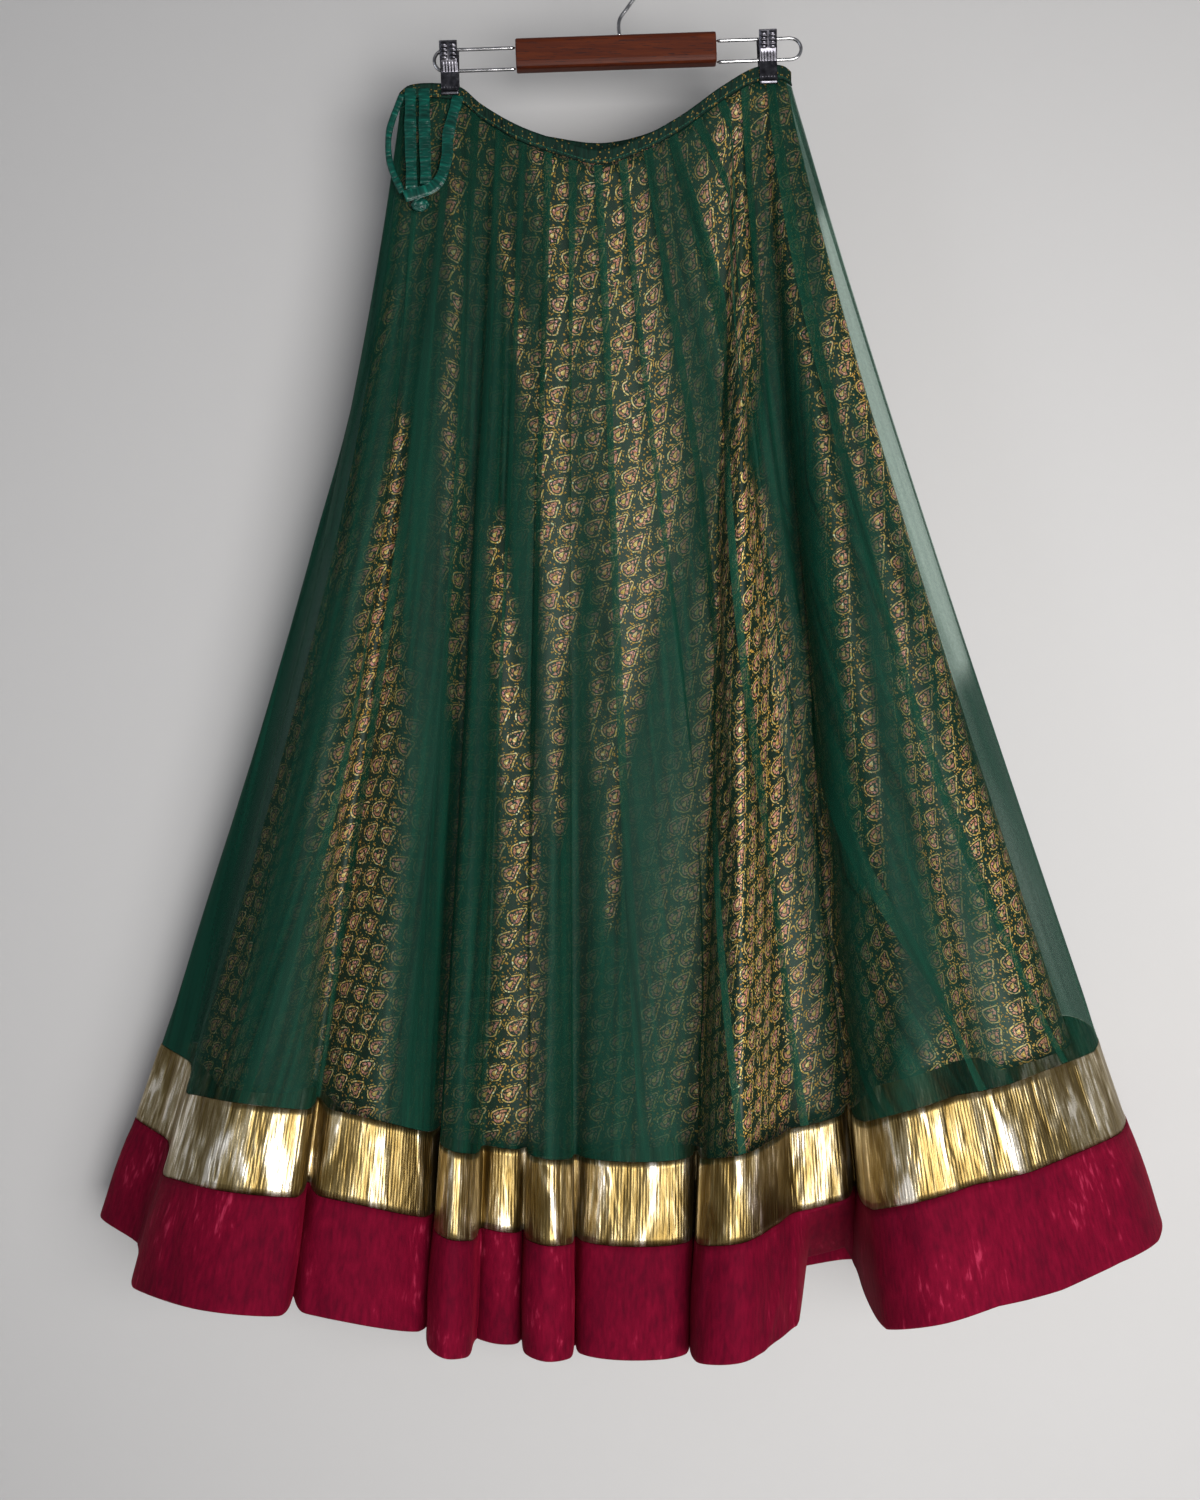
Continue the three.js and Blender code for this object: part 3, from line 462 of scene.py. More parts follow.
BACK_LIT_STRIPS = [
    (0.9, [(-330, -196, 12), (-560, -252, 24), (-800, -302, 34), (-990, -338, 38)]),
    (0.7, [(-150, -140, 14), (-420, -168, 16), (-640, -206, 10)]),
    (1.0, [(-160, -92, 24), (-420, -104, 34), (-700, -128, 30), (-990, -150, 44)]),
    (0.8, [(-170, -30, 26), (-380, -32, 34), (-620, -46, 16), (-760, -52, 8)]),
    (1.0, [(-480, 6, 10), (-700, 14, 34), (-990, 22, 56)]),
    (0.85, [(-170, 44, 30), (-330, 62, 30), (-560, 92, 14)]),
    (1.0, [(-420, 112, 10), (-640, 142, 30), (-860, 168, 40), (-990, 182, 36)]),
    (0.7, [(-130, 118, 14), (-380, 168, 14), (-640, 224, 10)]),
    (0.9, [(-620, 262, 14), (-800, 306, 32), (-980, 350, 40)]),
    (1.0, [(-230, 182, 14), (-366, 210, 26), (-500, 256, 22), (-600, 290, 12)])]
# height and place across of the line past which the left side's gores lie several deep
LEFT_FOLD = [(-119, -178), (-400, -216), (-560, -256), (-700, -292), (-860, -338), (-1000, -372)]
LEFT_FOLD_DEEP = 0.45


def one_layer_and_lit(grid):
    """0 where the net is folded over itself and the print is in painted shade, to 1 where the net
    lies in one layer and the print gets painted glints.
    """
    front, back = [np.zeros(grid.shape[:2]) for _ in range(2)]
    for strips, clear in ((FRONT_LIT_STRIPS, front), (BACK_LIT_STRIPS, back)):
        for most, stops in strips:
            height, across, half = np.array(stops[::-1], float).T
            middle, reach = (np.interp(grid[..., 2], height, row) for row in (across, half))
            ends = soft_step((grid[..., 2] - height[0]) / 40 + 1) * soft_step(
                (height[-1] - grid[..., 2]) / 40 + 1)
            strip = most * ends * np.exp(-(np.abs(grid[..., 0] - middle) / reach) ** 3)
            np.maximum(clear, strip, out=clear)
    clear = mix(front, back, soft_step(grid[..., 1] / 16 + 0.2))
    # below the waist the gathered net lies close on the print all round, and the print's painted
    # glints show there too
    clear = np.maximum(clear, 0.42 * soft_step((grid[..., 2] + 380) / 250))
    height, side = np.array(LEFT_FOLD[::-1], float).T
    past = np.interp(grid[..., 2], height, side) - grid[..., 0]
    return clear - LEFT_FOLD_DEEP * soft_step(past / 24 + 0.5)


# ---- materials
def linear(hex_code):
    """An sRGB hex colour as a linear one, quite opaque."""
    srgb = [int(hex_code[i:i + 2], 16) / 255 for i in (1, 3, 5)]
    return tuple(c / 12.92 if c <= 0.04045 else ((c + 0.055) / 1.055) ** 2.4 for c in srgb) + (1,)


def add_node(tree, kind, inputs=None, out=0, stops=None, stepped=False, stretch=None, **settings):
    """Adds a node with its settings and links, and gives one of its outputs. A kind may name its
    operation after a dot, and stretch multiplies the place that the node is given."""
    kind, _, operation = kind.partition(".")
    made = tree.nodes.new("ShaderNode" + kind)
    if operation:
        made.operation = operation
    if stretch:
        inputs["Vector"] = add_node(tree, "VectorMath.MULTIPLY", {0: inputs["Vector"], 1: stretch})
    if stepped:
        made.color_ramp.interpolation = "CONSTANT"
    for key, value in settings.items():
        setattr(made, key, value)
    for i, (at, colour) in enumerate(stops or ()):
        ramp = made.color_ramp.elements
        stop = ramp[i] if i < len(ramp) else ramp.new(at)
        stop.position, stop.color = at, linear(colour)
    for key, value in (inputs or {}).items():
        if isinstance(value, bpy.types.NodeSocket):
            tree.links.new(value, made.inputs[key])
        else:
            made.inputs[key].default_value = value
    return None if out is None else made.outputs[out]


def material(name):
    made = bpy.data.materials.new(name)
    made.use_nodes = True
    made.node_tree.nodes.clear()
    return made, partial(add_node, made.node_tree)


def finished(made, add, shader):
    add("OutputMaterial", {"Surface": shader}, out=None)
    return made


def tulle(name, folded, single, dark, pale):
    """Soft nylon tulle, dyed bottle green: an open hexagonal knit that half hides what is behind
    it, and hides most of it where it is folded over itself, with threads bunched into faint
    lengthwise streaks. Its density follows the lit strips, thinner in them and thicker between
    them as painted shade. The knit's 1.2 mm holes are drawn 2.6 mm wide, so that they show at all."""
    made, add = material(name)
    cut = add("UVMap", uv_map="cut_mm")
    clear = add("Attribute", out="Fac", attribute_name="one_layer_and_lit")
    streaks = add("TexNoise", {"Vector": cut, "Scale": 1.0, "Detail": 3.0},
                  stretch=(0.16, 0.004, 1))
    knit = add("TexVoronoi", {"Vector": cut, "Scale": 1 / KNIT_HOLE})
    # painted shade: the net is drawn denser between the lit strips and thinner in them, partly for
    # its real folds
    cover_and_shade = add("MapRange", {"Value": clear, "To Min": folded, "To Max": single}, clamp=False)
    density = add("Math.SUBTRACT", {0: cover_and_shade, 1: 0.2})
    density = add("Math.MULTIPLY_ADD", {0: knit, 1: 0.1, 2: density})
    density = add("Math.MULTIPLY_ADD", {0: streaks, 1: 0.3, 2: density}, use_clamp=True)
    tone = add("ValToRGB", {"Fac": streaks}, stops=[(0.25, dark), (0.75, pale)])
    threads = add("BsdfPrincipled", {"Base Color": tone, "Roughness": 0.7,
        "Specular IOR Level": 0.15, "Sheen Weight": 0.08, "Sheen Roughness": 0.4,
        "Sheen Tint": linear("#3fb586")})
    through = add("BsdfTranslucent", {"Color": linear("#0a523f")})
    body = add("MixShader", {0: 0.25, 1: threads, 2: through})
    holes = add("BsdfTransparent", {"Color": linear("#eaf6f0")})
    return finished(made, add, add("MixShader", {0: density, 1: holes, 2: body}))


def foil_print():
    """Dark green art-silk satin with a small paisley buti block-printed in beads of mixed metal
    foil: each bead is a tiny mirror set at its own angle, gold, copper or pink, on a brown
    adhesive that stains the satin. Beads of about 1 mm are drawn 1.5 mm apart. The foil's glint
    is painted: full in the lit strips and dimmed to painted shade between them. The brown stain is
    drawn only in the lit strips, partly the print's own stain and partly painted light."""
    made, add = material("foil_printed_art_silk")
    cut = add("UVMap", uv_map="cut_mm")
    lit_strips = add("Attribute", out="Fac", attribute_name="one_layer_and_lit")
    upright = add("VectorMath.MULTIPLY", {0: cut, 1: (1, -1, 1)})
    lattice = add("Mapping", {"Vector": upright, "Rotation": (0, 0, LATTICE_CLIMB),
        "Scale": (*LATTICE, 1.0)}, vector_type="TEXTURE")
    rows = add("SeparateXYZ", {0: lattice}, out=1)
    odd = add("Math.FRACT", {0: add("Math.MULTIPLY", {0: add("Math.FLOOR", {0: rows}), 1: 0.5})})
    dropped = add("VectorMath.ADD", {0: lattice, 1: add("CombineXYZ", {0: odd})})
    cell = add("VectorMath.ADD", {0: add("VectorMath.FRACTION", {0: dropped}), 1: (-0.5, -0.5, 0)})
    inside = add("VectorMath.MULTIPLY", {0: cell, 1: (*LATTICE, 0)})
    # one buti: round at its foot, its bent tip up and to the right
    buti = add("Mapping", {"Vector": inside, "Location": (-2.2, -2.8, 0),
        "Rotation": (0, 0, BUTI_LEAN)}, vector_type="TEXTURE")
    up = add("SeparateXYZ", {0: buti})
    side = up.node.outputs[1]
    rise = add("Math.DIVIDE", {0: up, 1: BUTI_LENGTH}, use_clamp=True)
    arch = add("Math.POWER", {0: rise, 1: 2.0})
    bent = add("Math.MULTIPLY_ADD", {0: arch, 1: BUTI_BEND, 2: side})
    beyond = add("Math.MULTIPLY_ADD", {0: rise, 1: -BUTI_LENGTH, 2: up})
    reach = add("VectorMath.LENGTH", {0: add("CombineXYZ", {0: bent, 1: beyond})}, out="Value")
    taper = add("Math.POWER", {0: add("Math.SUBTRACT", {0: 1.0, 1: rise}), 1: 0.8})
    edge = add("Math.MULTIPLY_ADD", {0: taper, 1: -BUTI_HALF_WIDTH, 2: reach})
    ring = add("Math.MULTIPLY_ADD", {0: edge, 1: 0.06, 2: 0.5}, use_clamp=True)
    beads = add("TexVoronoi", {"Vector": cut, "Scale": 1 / BEAD_PITCH})
    lot = add("SeparateXYZ", {0: beads.node.outputs["Color"]})
    bead = add("Math.LESS_THAN", {0: beads, 1: 0.68})
    # from its middle out: solid eye, gap, filling, gap, ring of beads, gap, loose ring, scatter
    laid_share = add("ValToRGB", {"Fac": ring}, stepped=True, stops=[
        (0.0, "#ffffff"), (0.29, "#4c4c4c"), (0.335, "#dcdcdc"), (0.465, "#000000"),
        (0.535, "#ffffff"), (0.61, "#000000"), (0.67, "#a0a0a0"), (0.72, "#5a5a5a")])
    drawn = add("Math.GREATER_THAN", {0: laid_share, 1: lot})
    eye = add("Math.LESS_THAN", {0: ring, 1: 0.29})
    dots = add("Math.MAXIMUM", {0: add("Math.MULTIPLY", {0: bead, 1: drawn}), 1: eye})
    # painted glint: the foil shows in full in the lit strips and is dimmed to painted shade
    # between them
    painted_glint_share = add("MapRange", {"Value": lit_strips, "To Min": 0.12, "To Max": 1.0})
    foil = add("Math.MULTIPLY", {0: dots, 1: painted_glint_share})
    gold = add("ValToRGB", {"Fac": lot}, stops=[
        (0.0, "#f8a848"), (0.5, "#ffd478"), (0.8, "#ffb88c"), (1.0, "#fff4c8")])
    copper = add("ValToRGB", {"Fac": lot}, stops=[
        (0.0, "#f08878"), (0.5, "#ffac88"), (0.8, "#fa92b4"), (1.0, "#ffdcc8")])
    filling = add("Math.LESS_THAN", {0: ring, 1: 0.5})
    hue = add("Mix", {0: add("Math.SUBTRACT", {0: filling, 1: eye}), 6: gold, 7: copper}, out=2,
        data_type="RGBA")
    weave = add("TexNoise", {"Vector": cut, "Scale": 1.0, "Detail": 3.0}, stretch=(0.5, 0.04, 1))
    satin = add("ValToRGB", {"Fac": weave}, stops=[(0.3, "#071a13"), (0.7, "#122c1e")])
    # the brown stain is drawn only in the lit strips: partly the print's own stain, partly painted
    # light
    stain_where_lit = add("Mix", {0: add("Math.MULTIPLY", {0: lit_strips, 1: 0.6}, use_clamp=True), 6: satin,
        7: linear("#201c16")}, out=2, data_type="RGBA")
    tint = add("Mix", {0: foil, 6: stain_where_lit, 7: hue}, out=2, data_type="RGBA")
    rough = add("Math.MULTIPLY_ADD", {0: foil, 1: -0.2, 2: 0.55})
    metal = add("Math.MULTIPLY", {0: foil, 1: 0.1})
    set_at = add("VectorMath.SUBTRACT", {0: beads.node.outputs["Color"], 1: (0.5, 0.5, 0.5)})
    tilt = add("VectorMath.SCALE", {0: set_at, "Scale": add("Math.MULTIPLY", {0: foil, 1: 0.8})})
    leant = add("VectorMath.ADD", {0: add("NewGeometry", out=1), 1: tilt})
    facet = add("VectorMath.NORMALIZE", {0: leant})
    return finished(made, add, add("BsdfPrincipled", {"Base Color": tint, "Metallic": metal,
        "Roughness": rough, "Sheen Weight": 0.1, "Sheen Tint": linear("#6f9c7c"),
        "Normal": facet}))


def gold_lame():
    """Lame ribbon cloth: flat metal strips laid over fine lengthwise ribs, a greyed gold with hard
    white streaks along its crinkles that are painted highlights in its colour. Ribs of about 1.3
    mm are drawn 2.6 mm apart."""
    made, add = material("gold_lame")
    cut = add("UVMap", uv_map="cut_mm")
    rib = add("TexWave", {"Vector": cut, "Scale": 2 * math.pi / 20 / 2.6, "Distortion": 0.6,
        "Detail": 1.0}, out=1, bands_direction="X")
    crinkle = add("TexNoise", {"Vector": cut, "Scale": 1.0, "Detail": 2.2, "Distortion": 0.6},
        stretch=(0.055, 0.011, 1))
    fine = add("TexNoise", {"Vector": cut, "Scale": 1.0, "Detail": 3.0}, stretch=(0.3, 0.04, 1))
    grain = add("TexNoise", {"Vector": cut, "Scale": 0.9, "Detail": 2.0})
    height = add("Math.MULTIPLY", {0: rib, 1: 0.18})
    height = add("Math.MULTIPLY_ADD", {0: fine, 1: 0.9, 2: height})
    height = add("Math.MULTIPLY_ADD", {0: crinkle, 1: 7.0, 2: height})
    painted_highlight_streak = add("Math.MULTIPLY", {0: grain, 1: 0.08})
    painted_highlight_streak = add("Math.MULTIPLY_ADD", {0: fine, 1: 0.3, 2: painted_highlight_streak})
    painted_highlight_streak = add("Math.MULTIPLY_ADD", {0: crinkle, 1: 0.62, 2: painted_highlight_streak})
    # painted highlight: the colour climbs from greyed gold to near white along the crinkles
    tone = add("ValToRGB", {"Fac": painted_highlight_streak}, stops=[
        (0.40, "#695730"), (0.50, "#83724a"), (0.57, "#b2a482"), (0.62, "#fbf3e2")])
    bump = add("Bump", {"Height": height, "Strength": 1.0, "Distance": 0.0007})
    rough = add("Math.MULTIPLY_ADD", {0: grain, 1: 0.3, 2: 0.26})
    return finished(made, add, add("BsdfPrincipled", {"Base Color": tone, "Metallic": 1.0,
        "Roughness": rough, "Normal": bump}))


def crushed_velvet():
    """Crimson velvet with a crushed pile: deep where the pile is upright, with a light bloom at
    grazing angles and short bright marks where it is pressed flat."""
    made, add = material("crushed_velvet")
    cut = add("UVMap", uv_map="cut_mm")
    press = add("TexNoise", {"Vector": cut, "Scale": 1.0, "Detail": 5.0, "Roughness": 0.62,
        "Distortion": 0.7}, stretch=(0.075, 0.03, 1))
    marks = add("TexNoise", {"Vector": cut, "Scale": 1.0, "Detail": 3.0}, stretch=(0.3, 0.07, 1))
    pile = add("TexNoise", {"Vector": cut, "Scale": 1.1, "Detail": 2.0})
    # whole stretches are pressed flat, others left upright
    patch = add("TexNoise", {"Vector": cut, "Scale": 0.011, "Detail": 1.0})
    crushed = add("MapRange", {"Value": patch, "From Min": 0.42, "From Max": 0.62, "To Min": 0.7,
        "To Max": 1.12})
    worn = add("Math.MULTIPLY", {0: add("Math.MULTIPLY", {0: press, 1: marks}), 1: crushed})
    tone = add("ValToRGB", {"Fac": worn}, stops=[
        (0.10, "#480016"), (0.20, "#58001a"), (0.34, "#65021f"), (0.46, "#8c213c")])
    height = add("Math.MULTIPLY_ADD", {0: press, 1: 4.0, 2: pile})
    bump = add("Bump", {"Height": height, "Strength": 0.3, "Distance": 0.001})
    return finished(made, add, add("BsdfPrincipled", {"Base Color": tone, "Roughness": 0.85,
        "Sheen Weight": 0.2, "Sheen Roughness": 0.35, "Sheen Tint": linear("#c01038"),
        "Specular IOR Level": 0.08, "Normal": bump}))


def satin_ribbon():
    """Teal polyester satin, cut on the bias and sewn into a tube: smooth, with a broad soft shine
    and short cross puckers along its seam."""
    made, add = material("bias_satin")
    cut = add("UVMap", uv_map="cut_mm")
    pucker = add("TexNoise", {"Vector": cut, "Scale": 1.0, "Detail": 3.0}, stretch=(0.12, 0.3, 1))
    seam = add("TexWave", {"Vector": cut, "Scale": 0.06, "Distortion": 0.3}, out=1)
    tone = add("ValToRGB", {"Fac": pucker}, stops=[
        (0.3, "#00261f"), (0.55, "#003f35"), (0.75, "#0a6454")])
    height = add("Math.MULTIPLY_ADD", {0: pucker, 1: 3.0, 2: seam})
    bump = add("Bump", {"Height": height, "Strength": 0.8, "Distance": 0.0006})
    return finished(made, add, add("BsdfPrincipled", {"Base Color": tone, "Roughness": 0.36,
        "Specular IOR Level": 0.35, "Anisotropic": 0.4, "Normal": bump}))


def casing_cloth():
    """The waist casing: net doubled over the printed satin and gathered a little on its cord, so
    dark green with short upright puckers, a row of machine stitches below, and specks of the
    print's gold foil that glint through."""
    made, add = material("gathered_casing")
    cut = add("UVMap", uv_map="cut_mm")
    pucker = add("TexNoise", {"Vector": cut, "Scale": 1.0, "Detail": 2.0}, stretch=(0.35, 0.05, 1))
    tone = add("ValToRGB", {"Fac": pucker}, stops=[(0.3, "#03130d"), (0.7, "#0a2a20")])
    across = add("SeparateXYZ", {0: cut})
    off_line = add("Math.SUBTRACT", {0: across.node.outputs[1], 1: STITCH_ROW})
    on_line = add("Math.LESS_THAN", {0: add("Math.ABSOLUTE", {0: off_line}), 1: 0.35})
    stitches = add("Math.FRACT", {0: add("Math.DIVIDE", {0: across, 1: STITCH_LENGTH})})
    dash = add("Math.LESS_THAN", {0: stitches, 1: 0.7})
    stitch = add("Math.MULTIPLY", {0: on_line, 1: dash})
    sewn = add("Mix", {0: stitch, 6: tone, 7: linear("#1d4a3a")}, out=2, data_type="RGBA")
    specks = add("TexVoronoi", {"Vector": cut, "Scale": 1 / BEAD_PITCH})
    lot = add("SeparateXYZ", {0: specks.node.outputs["Color"]})
    shown = add("Math.MULTIPLY", {0: add("Math.GREATER_THAN", {0: lot, 1: 0.86}),
        1: add("Math.LESS_THAN", {0: specks, 1: 0.5})})
    colour = add("Mix", {0: add("Math.MULTIPLY", {0: shown, 1: 0.4}), 6: sewn,
        7: linear("#b08a3c")}, out=2, data_type="RGBA")
    height = add("Math.MULTIPLY_ADD", {0: pucker, 1: 3.0, 2: stitch})
    bump = add("Bump", {"Height": height, "Strength": 0.7, "Distance": 0.0007})
    return finished(made, add, add("BsdfPrincipled", {"Base Color": colour, "Roughness": 0.75,
        "Specular IOR Level": 0.15, "Normal": bump}))


def varnished_wood():
    """Beech stained red-brown under a thin clear varnish: long fine grain lines and pores under
    a smooth skin with a soft shine."""
    made, add = material("varnished_beech")
    place = add("TexCoord", out=3)
    grain = add("TexNoise", {"Vector": place, "Scale": 1.0, "Detail": 5.0, "Distortion": 0.8},
        stretch=(14, 260, 260))
    pores = add("TexNoise", {"Vector": place, "Scale": 1.0, "Detail": 2.0},
        stretch=(90, 1500, 1500))
    tone = add("ValToRGB", {"Fac": grain}, stops=[
        (0.3, "#3a1202"), (0.55, "#451803"), (0.75, "#532206")])
    colour = add("Mix", {0: add("Math.GREATER_THAN", {0: pores, 1: 0.62}), 6: tone,
        7: linear("#2c100b")}, out=2, data_type="RGBA")
    bump = add("Bump", {"Height": grain, "Strength": 0.15, "Distance": 0.0004})
    return finished(made, add, add("BsdfPrincipled", {"Base Color": colour, "Roughness": 0.5,
        "Specular IOR Level": 0.2, "Coat Weight": 0.12, "Coat Roughness": 0.2, "Normal": bump}))


def drawn_steel(name, dark, pale, roughness):
    """Steel wire or sheet with a bright plated finish: mirror-like, with fine drawing scratches
    and small smudges."""
    made, add = material(name)
    place = add("TexCoord", out=3)
    smudge = add("TexNoise", {"Vector": place, "Scale": 180.0, "Detail": 3.0})
    scratch = add("TexNoise", {"Vector": place, "Scale": 1.0, "Detail": 2.0},
        stretch=(900, 900, 60))
    tone = add("ValToRGB", {"Fac": smudge}, stops=[(0.3, dark), (0.7, pale)])
    rough = add("Math.MULTIPLY_ADD", {0: smudge, 1: 0.2, 2: roughness})
    bump = add("Bump", {"Height": scratch, "Strength": 0.12, "Distance": 0.0002})
    return finished(made, add, add("BsdfPrincipled", {"Base Color": tone, "Metallic": 1.0,
        "Roughness": rough, "Normal": bump}))


def wall_paint(name, tone, one_sided):
    """Matt emulsion, with a faint roller texture. When one_sided, it is seen from its front only.
    """
    made, add = material(name)
    place = add("TexCoord", out=3)
    roller = add("TexNoise", {"Vector": place, "Scale": 60.0, "Detail": 3.0})
    bump = add("Bump", {"Height": roller, "Strength": 0.08, "Distance": 0.002})
    paint = add("BsdfPrincipled", {"Base Color": linear(tone), "Roughness": 0.9,
        "Specular IOR Level": 0.1, "Normal": bump})
    if one_sided:
        behind = add("NewGeometry", out=6)
        shadow = add("LightPath", out=1)
        clear = add("Math.MAXIMUM", {0: behind, 1: shadow})
        paint = add("MixShader", {0: clear, 1: paint, 2: add("BsdfTransparent")})
    return finished(made, add, paint)


NET_ONE = tulle("nylon_tulle", 0.76, 0.16, "#02241b", "#064030")
# the seam allowances' doubled net gets paler threads than the single net: a painted lighter tone
NET_SEAM_PAINTED_PALER = tulle("nylon_tulle_doubled_painted_paler", 0.72, 0.86, "#123f32", "#245c4b")
FOIL = foil_print()
LAME = gold_lame()
VELVET = crushed_velvet()
SATIN = satin_ribbon()
CASING = casing_cloth()
WOOD = varnished_wood()
WIRE = drawn_steel("bright_drawn_wire", "#9a9a9c", "#d4d4d6", 0.1)
CLIP_STEEL = drawn_steel("dark_nickel_sheet", "#3c3b40", "#66656b", 0.16)


# ---- drawstring: flat satin lengths, from the waistband down to their knot
RIBBONS = [
    ("drawstring_loop", 5.5, [(-181.5, -6.6, -122), (-192, -11, -156), (-190.5, -15, -184),
                              (-180, -19.2, -209)]),
    ("drawstring_end_left", 9.5, [(-174.5, -6.6, -117), (-174, -12, -150), (-172, -19.3, -206)]),
    ("drawstring_end_middle", 9.5, [(-163, -6, -117), (-162, -12, -150), (-160, -19.3, -202)]),
    ("drawstring_end_right", 9.5, [(-134, -5.4, -123), (-142, -12, -158), (-143, -16, -180),
                                   (-152, -20.4, -203), (-178, -20.9, -213)])]


def tube_faces(rows, sides):
    """Outward faces of a tube of rings of corners, then of the caps over its two ends."""
    ids = np.arange(rows * sides).reshape(rows, sides)
    nxt = np.roll(ids, -1, axis=1)
    around = np.stack([ids[:-1], nxt[:-1], nxt[1:], ids[1:]], -1).reshape(-1, 4)
    j = np.arange(sides // 2 - 1)
    start, end = (np.stack([row[j], row[j + 1], row[sides - 2 - j], row[sides - 1 - j]], 1)
                  for row in (ids[0], ids[-1]))
    return np.concatenate([around, start[:, ::-1], end])


def unit(vectors):
    return vectors / np.linalg.norm(vectors, axis=1, keepdims=True)


def swept(points, per_span):
    """Places along a curve through the points, the way it runs there, and its length so far."""
    curve, n = spline(points, False)
    line = curve(np.linspace(0, n - 1, per_span * (n - 1) + 1))
    return line, unit(np.gradient(line, axis=0)), run_along(line)


def ribbon(name, width, route):
    line, along, run = swept(route, 16)
    across = unit(np.stack([along[:, 2], np.zeros(len(line)), -along[:, 0]], 1))
    face = np.cross(along, across)
    sides = 20
    turn = (np.arange(sides) + 0.5) * 2 * math.pi / sides
    # rounded flat section, its edges rolled a little and its width never quite even
    flat = np.sign(np.cos(turn)) * np.abs(np.cos(turn)) ** 0.6
    breathe = 1 + 0.05 * np.sin(run / 9.0 + width) + 0.04 * np.sin(run / 4.1)
    pucker = 0.22 * np.sin(run[:, None] / 2.3 + 2.5 * flat[None]) * np.abs(flat[None])
    half = flat[None, :, None] * width / 2 * breathe[:, None, None]
    thick = (np.sin(turn)[None] * 0.75 + pucker)[..., None]
    verts = line[:, None] + across[:, None] * half + face[:, None] * thick
    u = np.broadcast_to(np.arange(sides) * width * 2 / sides, (len(line), sides))
    u2 = u + width * 2 / sides
    v = np.broadcast_to(run[:, None], (len(line), sides))
    uv = np.stack([np.stack([u[:-1], u2[:-1], u2[1:], u[1:]], -1),
                   np.stack([v[:-1], v[:-1], v[1:], v[1:]], -1)], -1).reshape(-1, 4, 2)
    faces = tube_faces(len(line), sides)
    uv = np.concatenate([uv, np.zeros((len(faces) - len(uv), 4, 2))])
    piece = mesh_piece(name + "_satin", verts.reshape(-1, 3), faces, SATIN, uv)
    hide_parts(name)
    return piece, line / 1000, run[-1] / 1000


def knot_piece():
    """A flat half hitch, drawn as a single flattened lump with puckers twisting round it."""
    rows, sides = 25, 32
    lat, lon = np.meshgrid(np.linspace(-math.pi / 2, math.pi / 2, rows),
                           np.arange(sides + 1) * 2 * math.pi / sides, indexing="ij")
    swell = 1 + 0.07 * np.cos(6 * lon + 3 * lat) + 0.05 * np.cos(9 * lat - 2 * lon)
    swell[0], swell[-1] = 1, 1
    p = np.stack([-165 + 7 * np.cos(lat) * np.cos(lon) * swell,
                  -19.5 + 2.1 * np.cos(lat) * np.sin(lon) * swell,
                  -219.4 + 6 * np.sin(lat)], -1)
    p = p[:, ::-1]
    left, right, down = running(p, sides)
    verts, faces, uv = cloth_faces(p, p * 0, 0, left, right, down)
    piece = mesh_piece("drawstring_knot_satin", verts, faces, SATIN, uv)
    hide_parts("drawstring_knot")
    return piece


knot = knot_piece()
for name, width, route in RIBBONS:
    piece, path, long = ribbon(name, width, route)


# ---- creases, listed: start share, end share, top, bottom, width mm, depth mm
NET_CREASES = [
    (0.030, 0.034, 0.18, 0.92, 16, 3.0), (0.058, 0.050, 0.30, 0.80, 11, -2.2),
    (0.091, 0.101, 0.10, 0.70, 14, 2.4), (0.128, 0.139, 0.35, 0.95, 10, 2.2),
    (0.151, 0.158, 0.08, 0.55, 9, -1.6), (0.184, 0.190, 0.25, 0.85, 13, 2.6),
    (0.214, 0.209, 0.45, 0.97, 9, -2.0), (0.243, 0.247, 0.15, 0.65, 12, 2.0),
    (0.270, 0.281, 0.40, 0.90, 15, 2.8), (0.305, 0.300, 0.20, 0.60, 8, -1.6),
    (0.331, 0.340, 0.30, 0.88, 12, 2.4), (0.362, 0.371, 0.12, 0.50, 9, 1.6),
    (0.398, 0.404, 0.42, 0.96, 14, -2.4), (0.431, 0.437, 0.22, 0.82, 11, 2.6),
    (0.466, 0.471, 0.30, 0.93, 16, 3.0),
    (0.528, 0.520, 0.20, 0.85, 14, 2.8), (0.561, 0.566, 0.40, 0.93, 10, -2.2),
    (0.597, 0.590, 0.12, 0.62, 12, 2.2), (0.640, 0.648, 0.34, 0.90, 13, 2.6),
    (0.672, 0.668, 0.20, 0.55, 9, -1.6), (0.712, 0.719, 0.28, 0.94, 15, 2.8),
    (0.748, 0.741, 0.45, 0.88, 10, 2.0), (0.790, 0.797, 0.15, 0.72, 12, -2.0),
    (0.829, 0.821, 0.30, 0.92, 14, 2.8), (0.868, 0.874, 0.10, 0.60, 10, 1.8),
    (0.905, 0.899, 0.38, 0.90, 12, -2.2), (0.944, 0.951, 0.22, 0.86, 15, 3.0),
    (0.978, 0.972, 0.40, 0.94, 11, 2.0)]
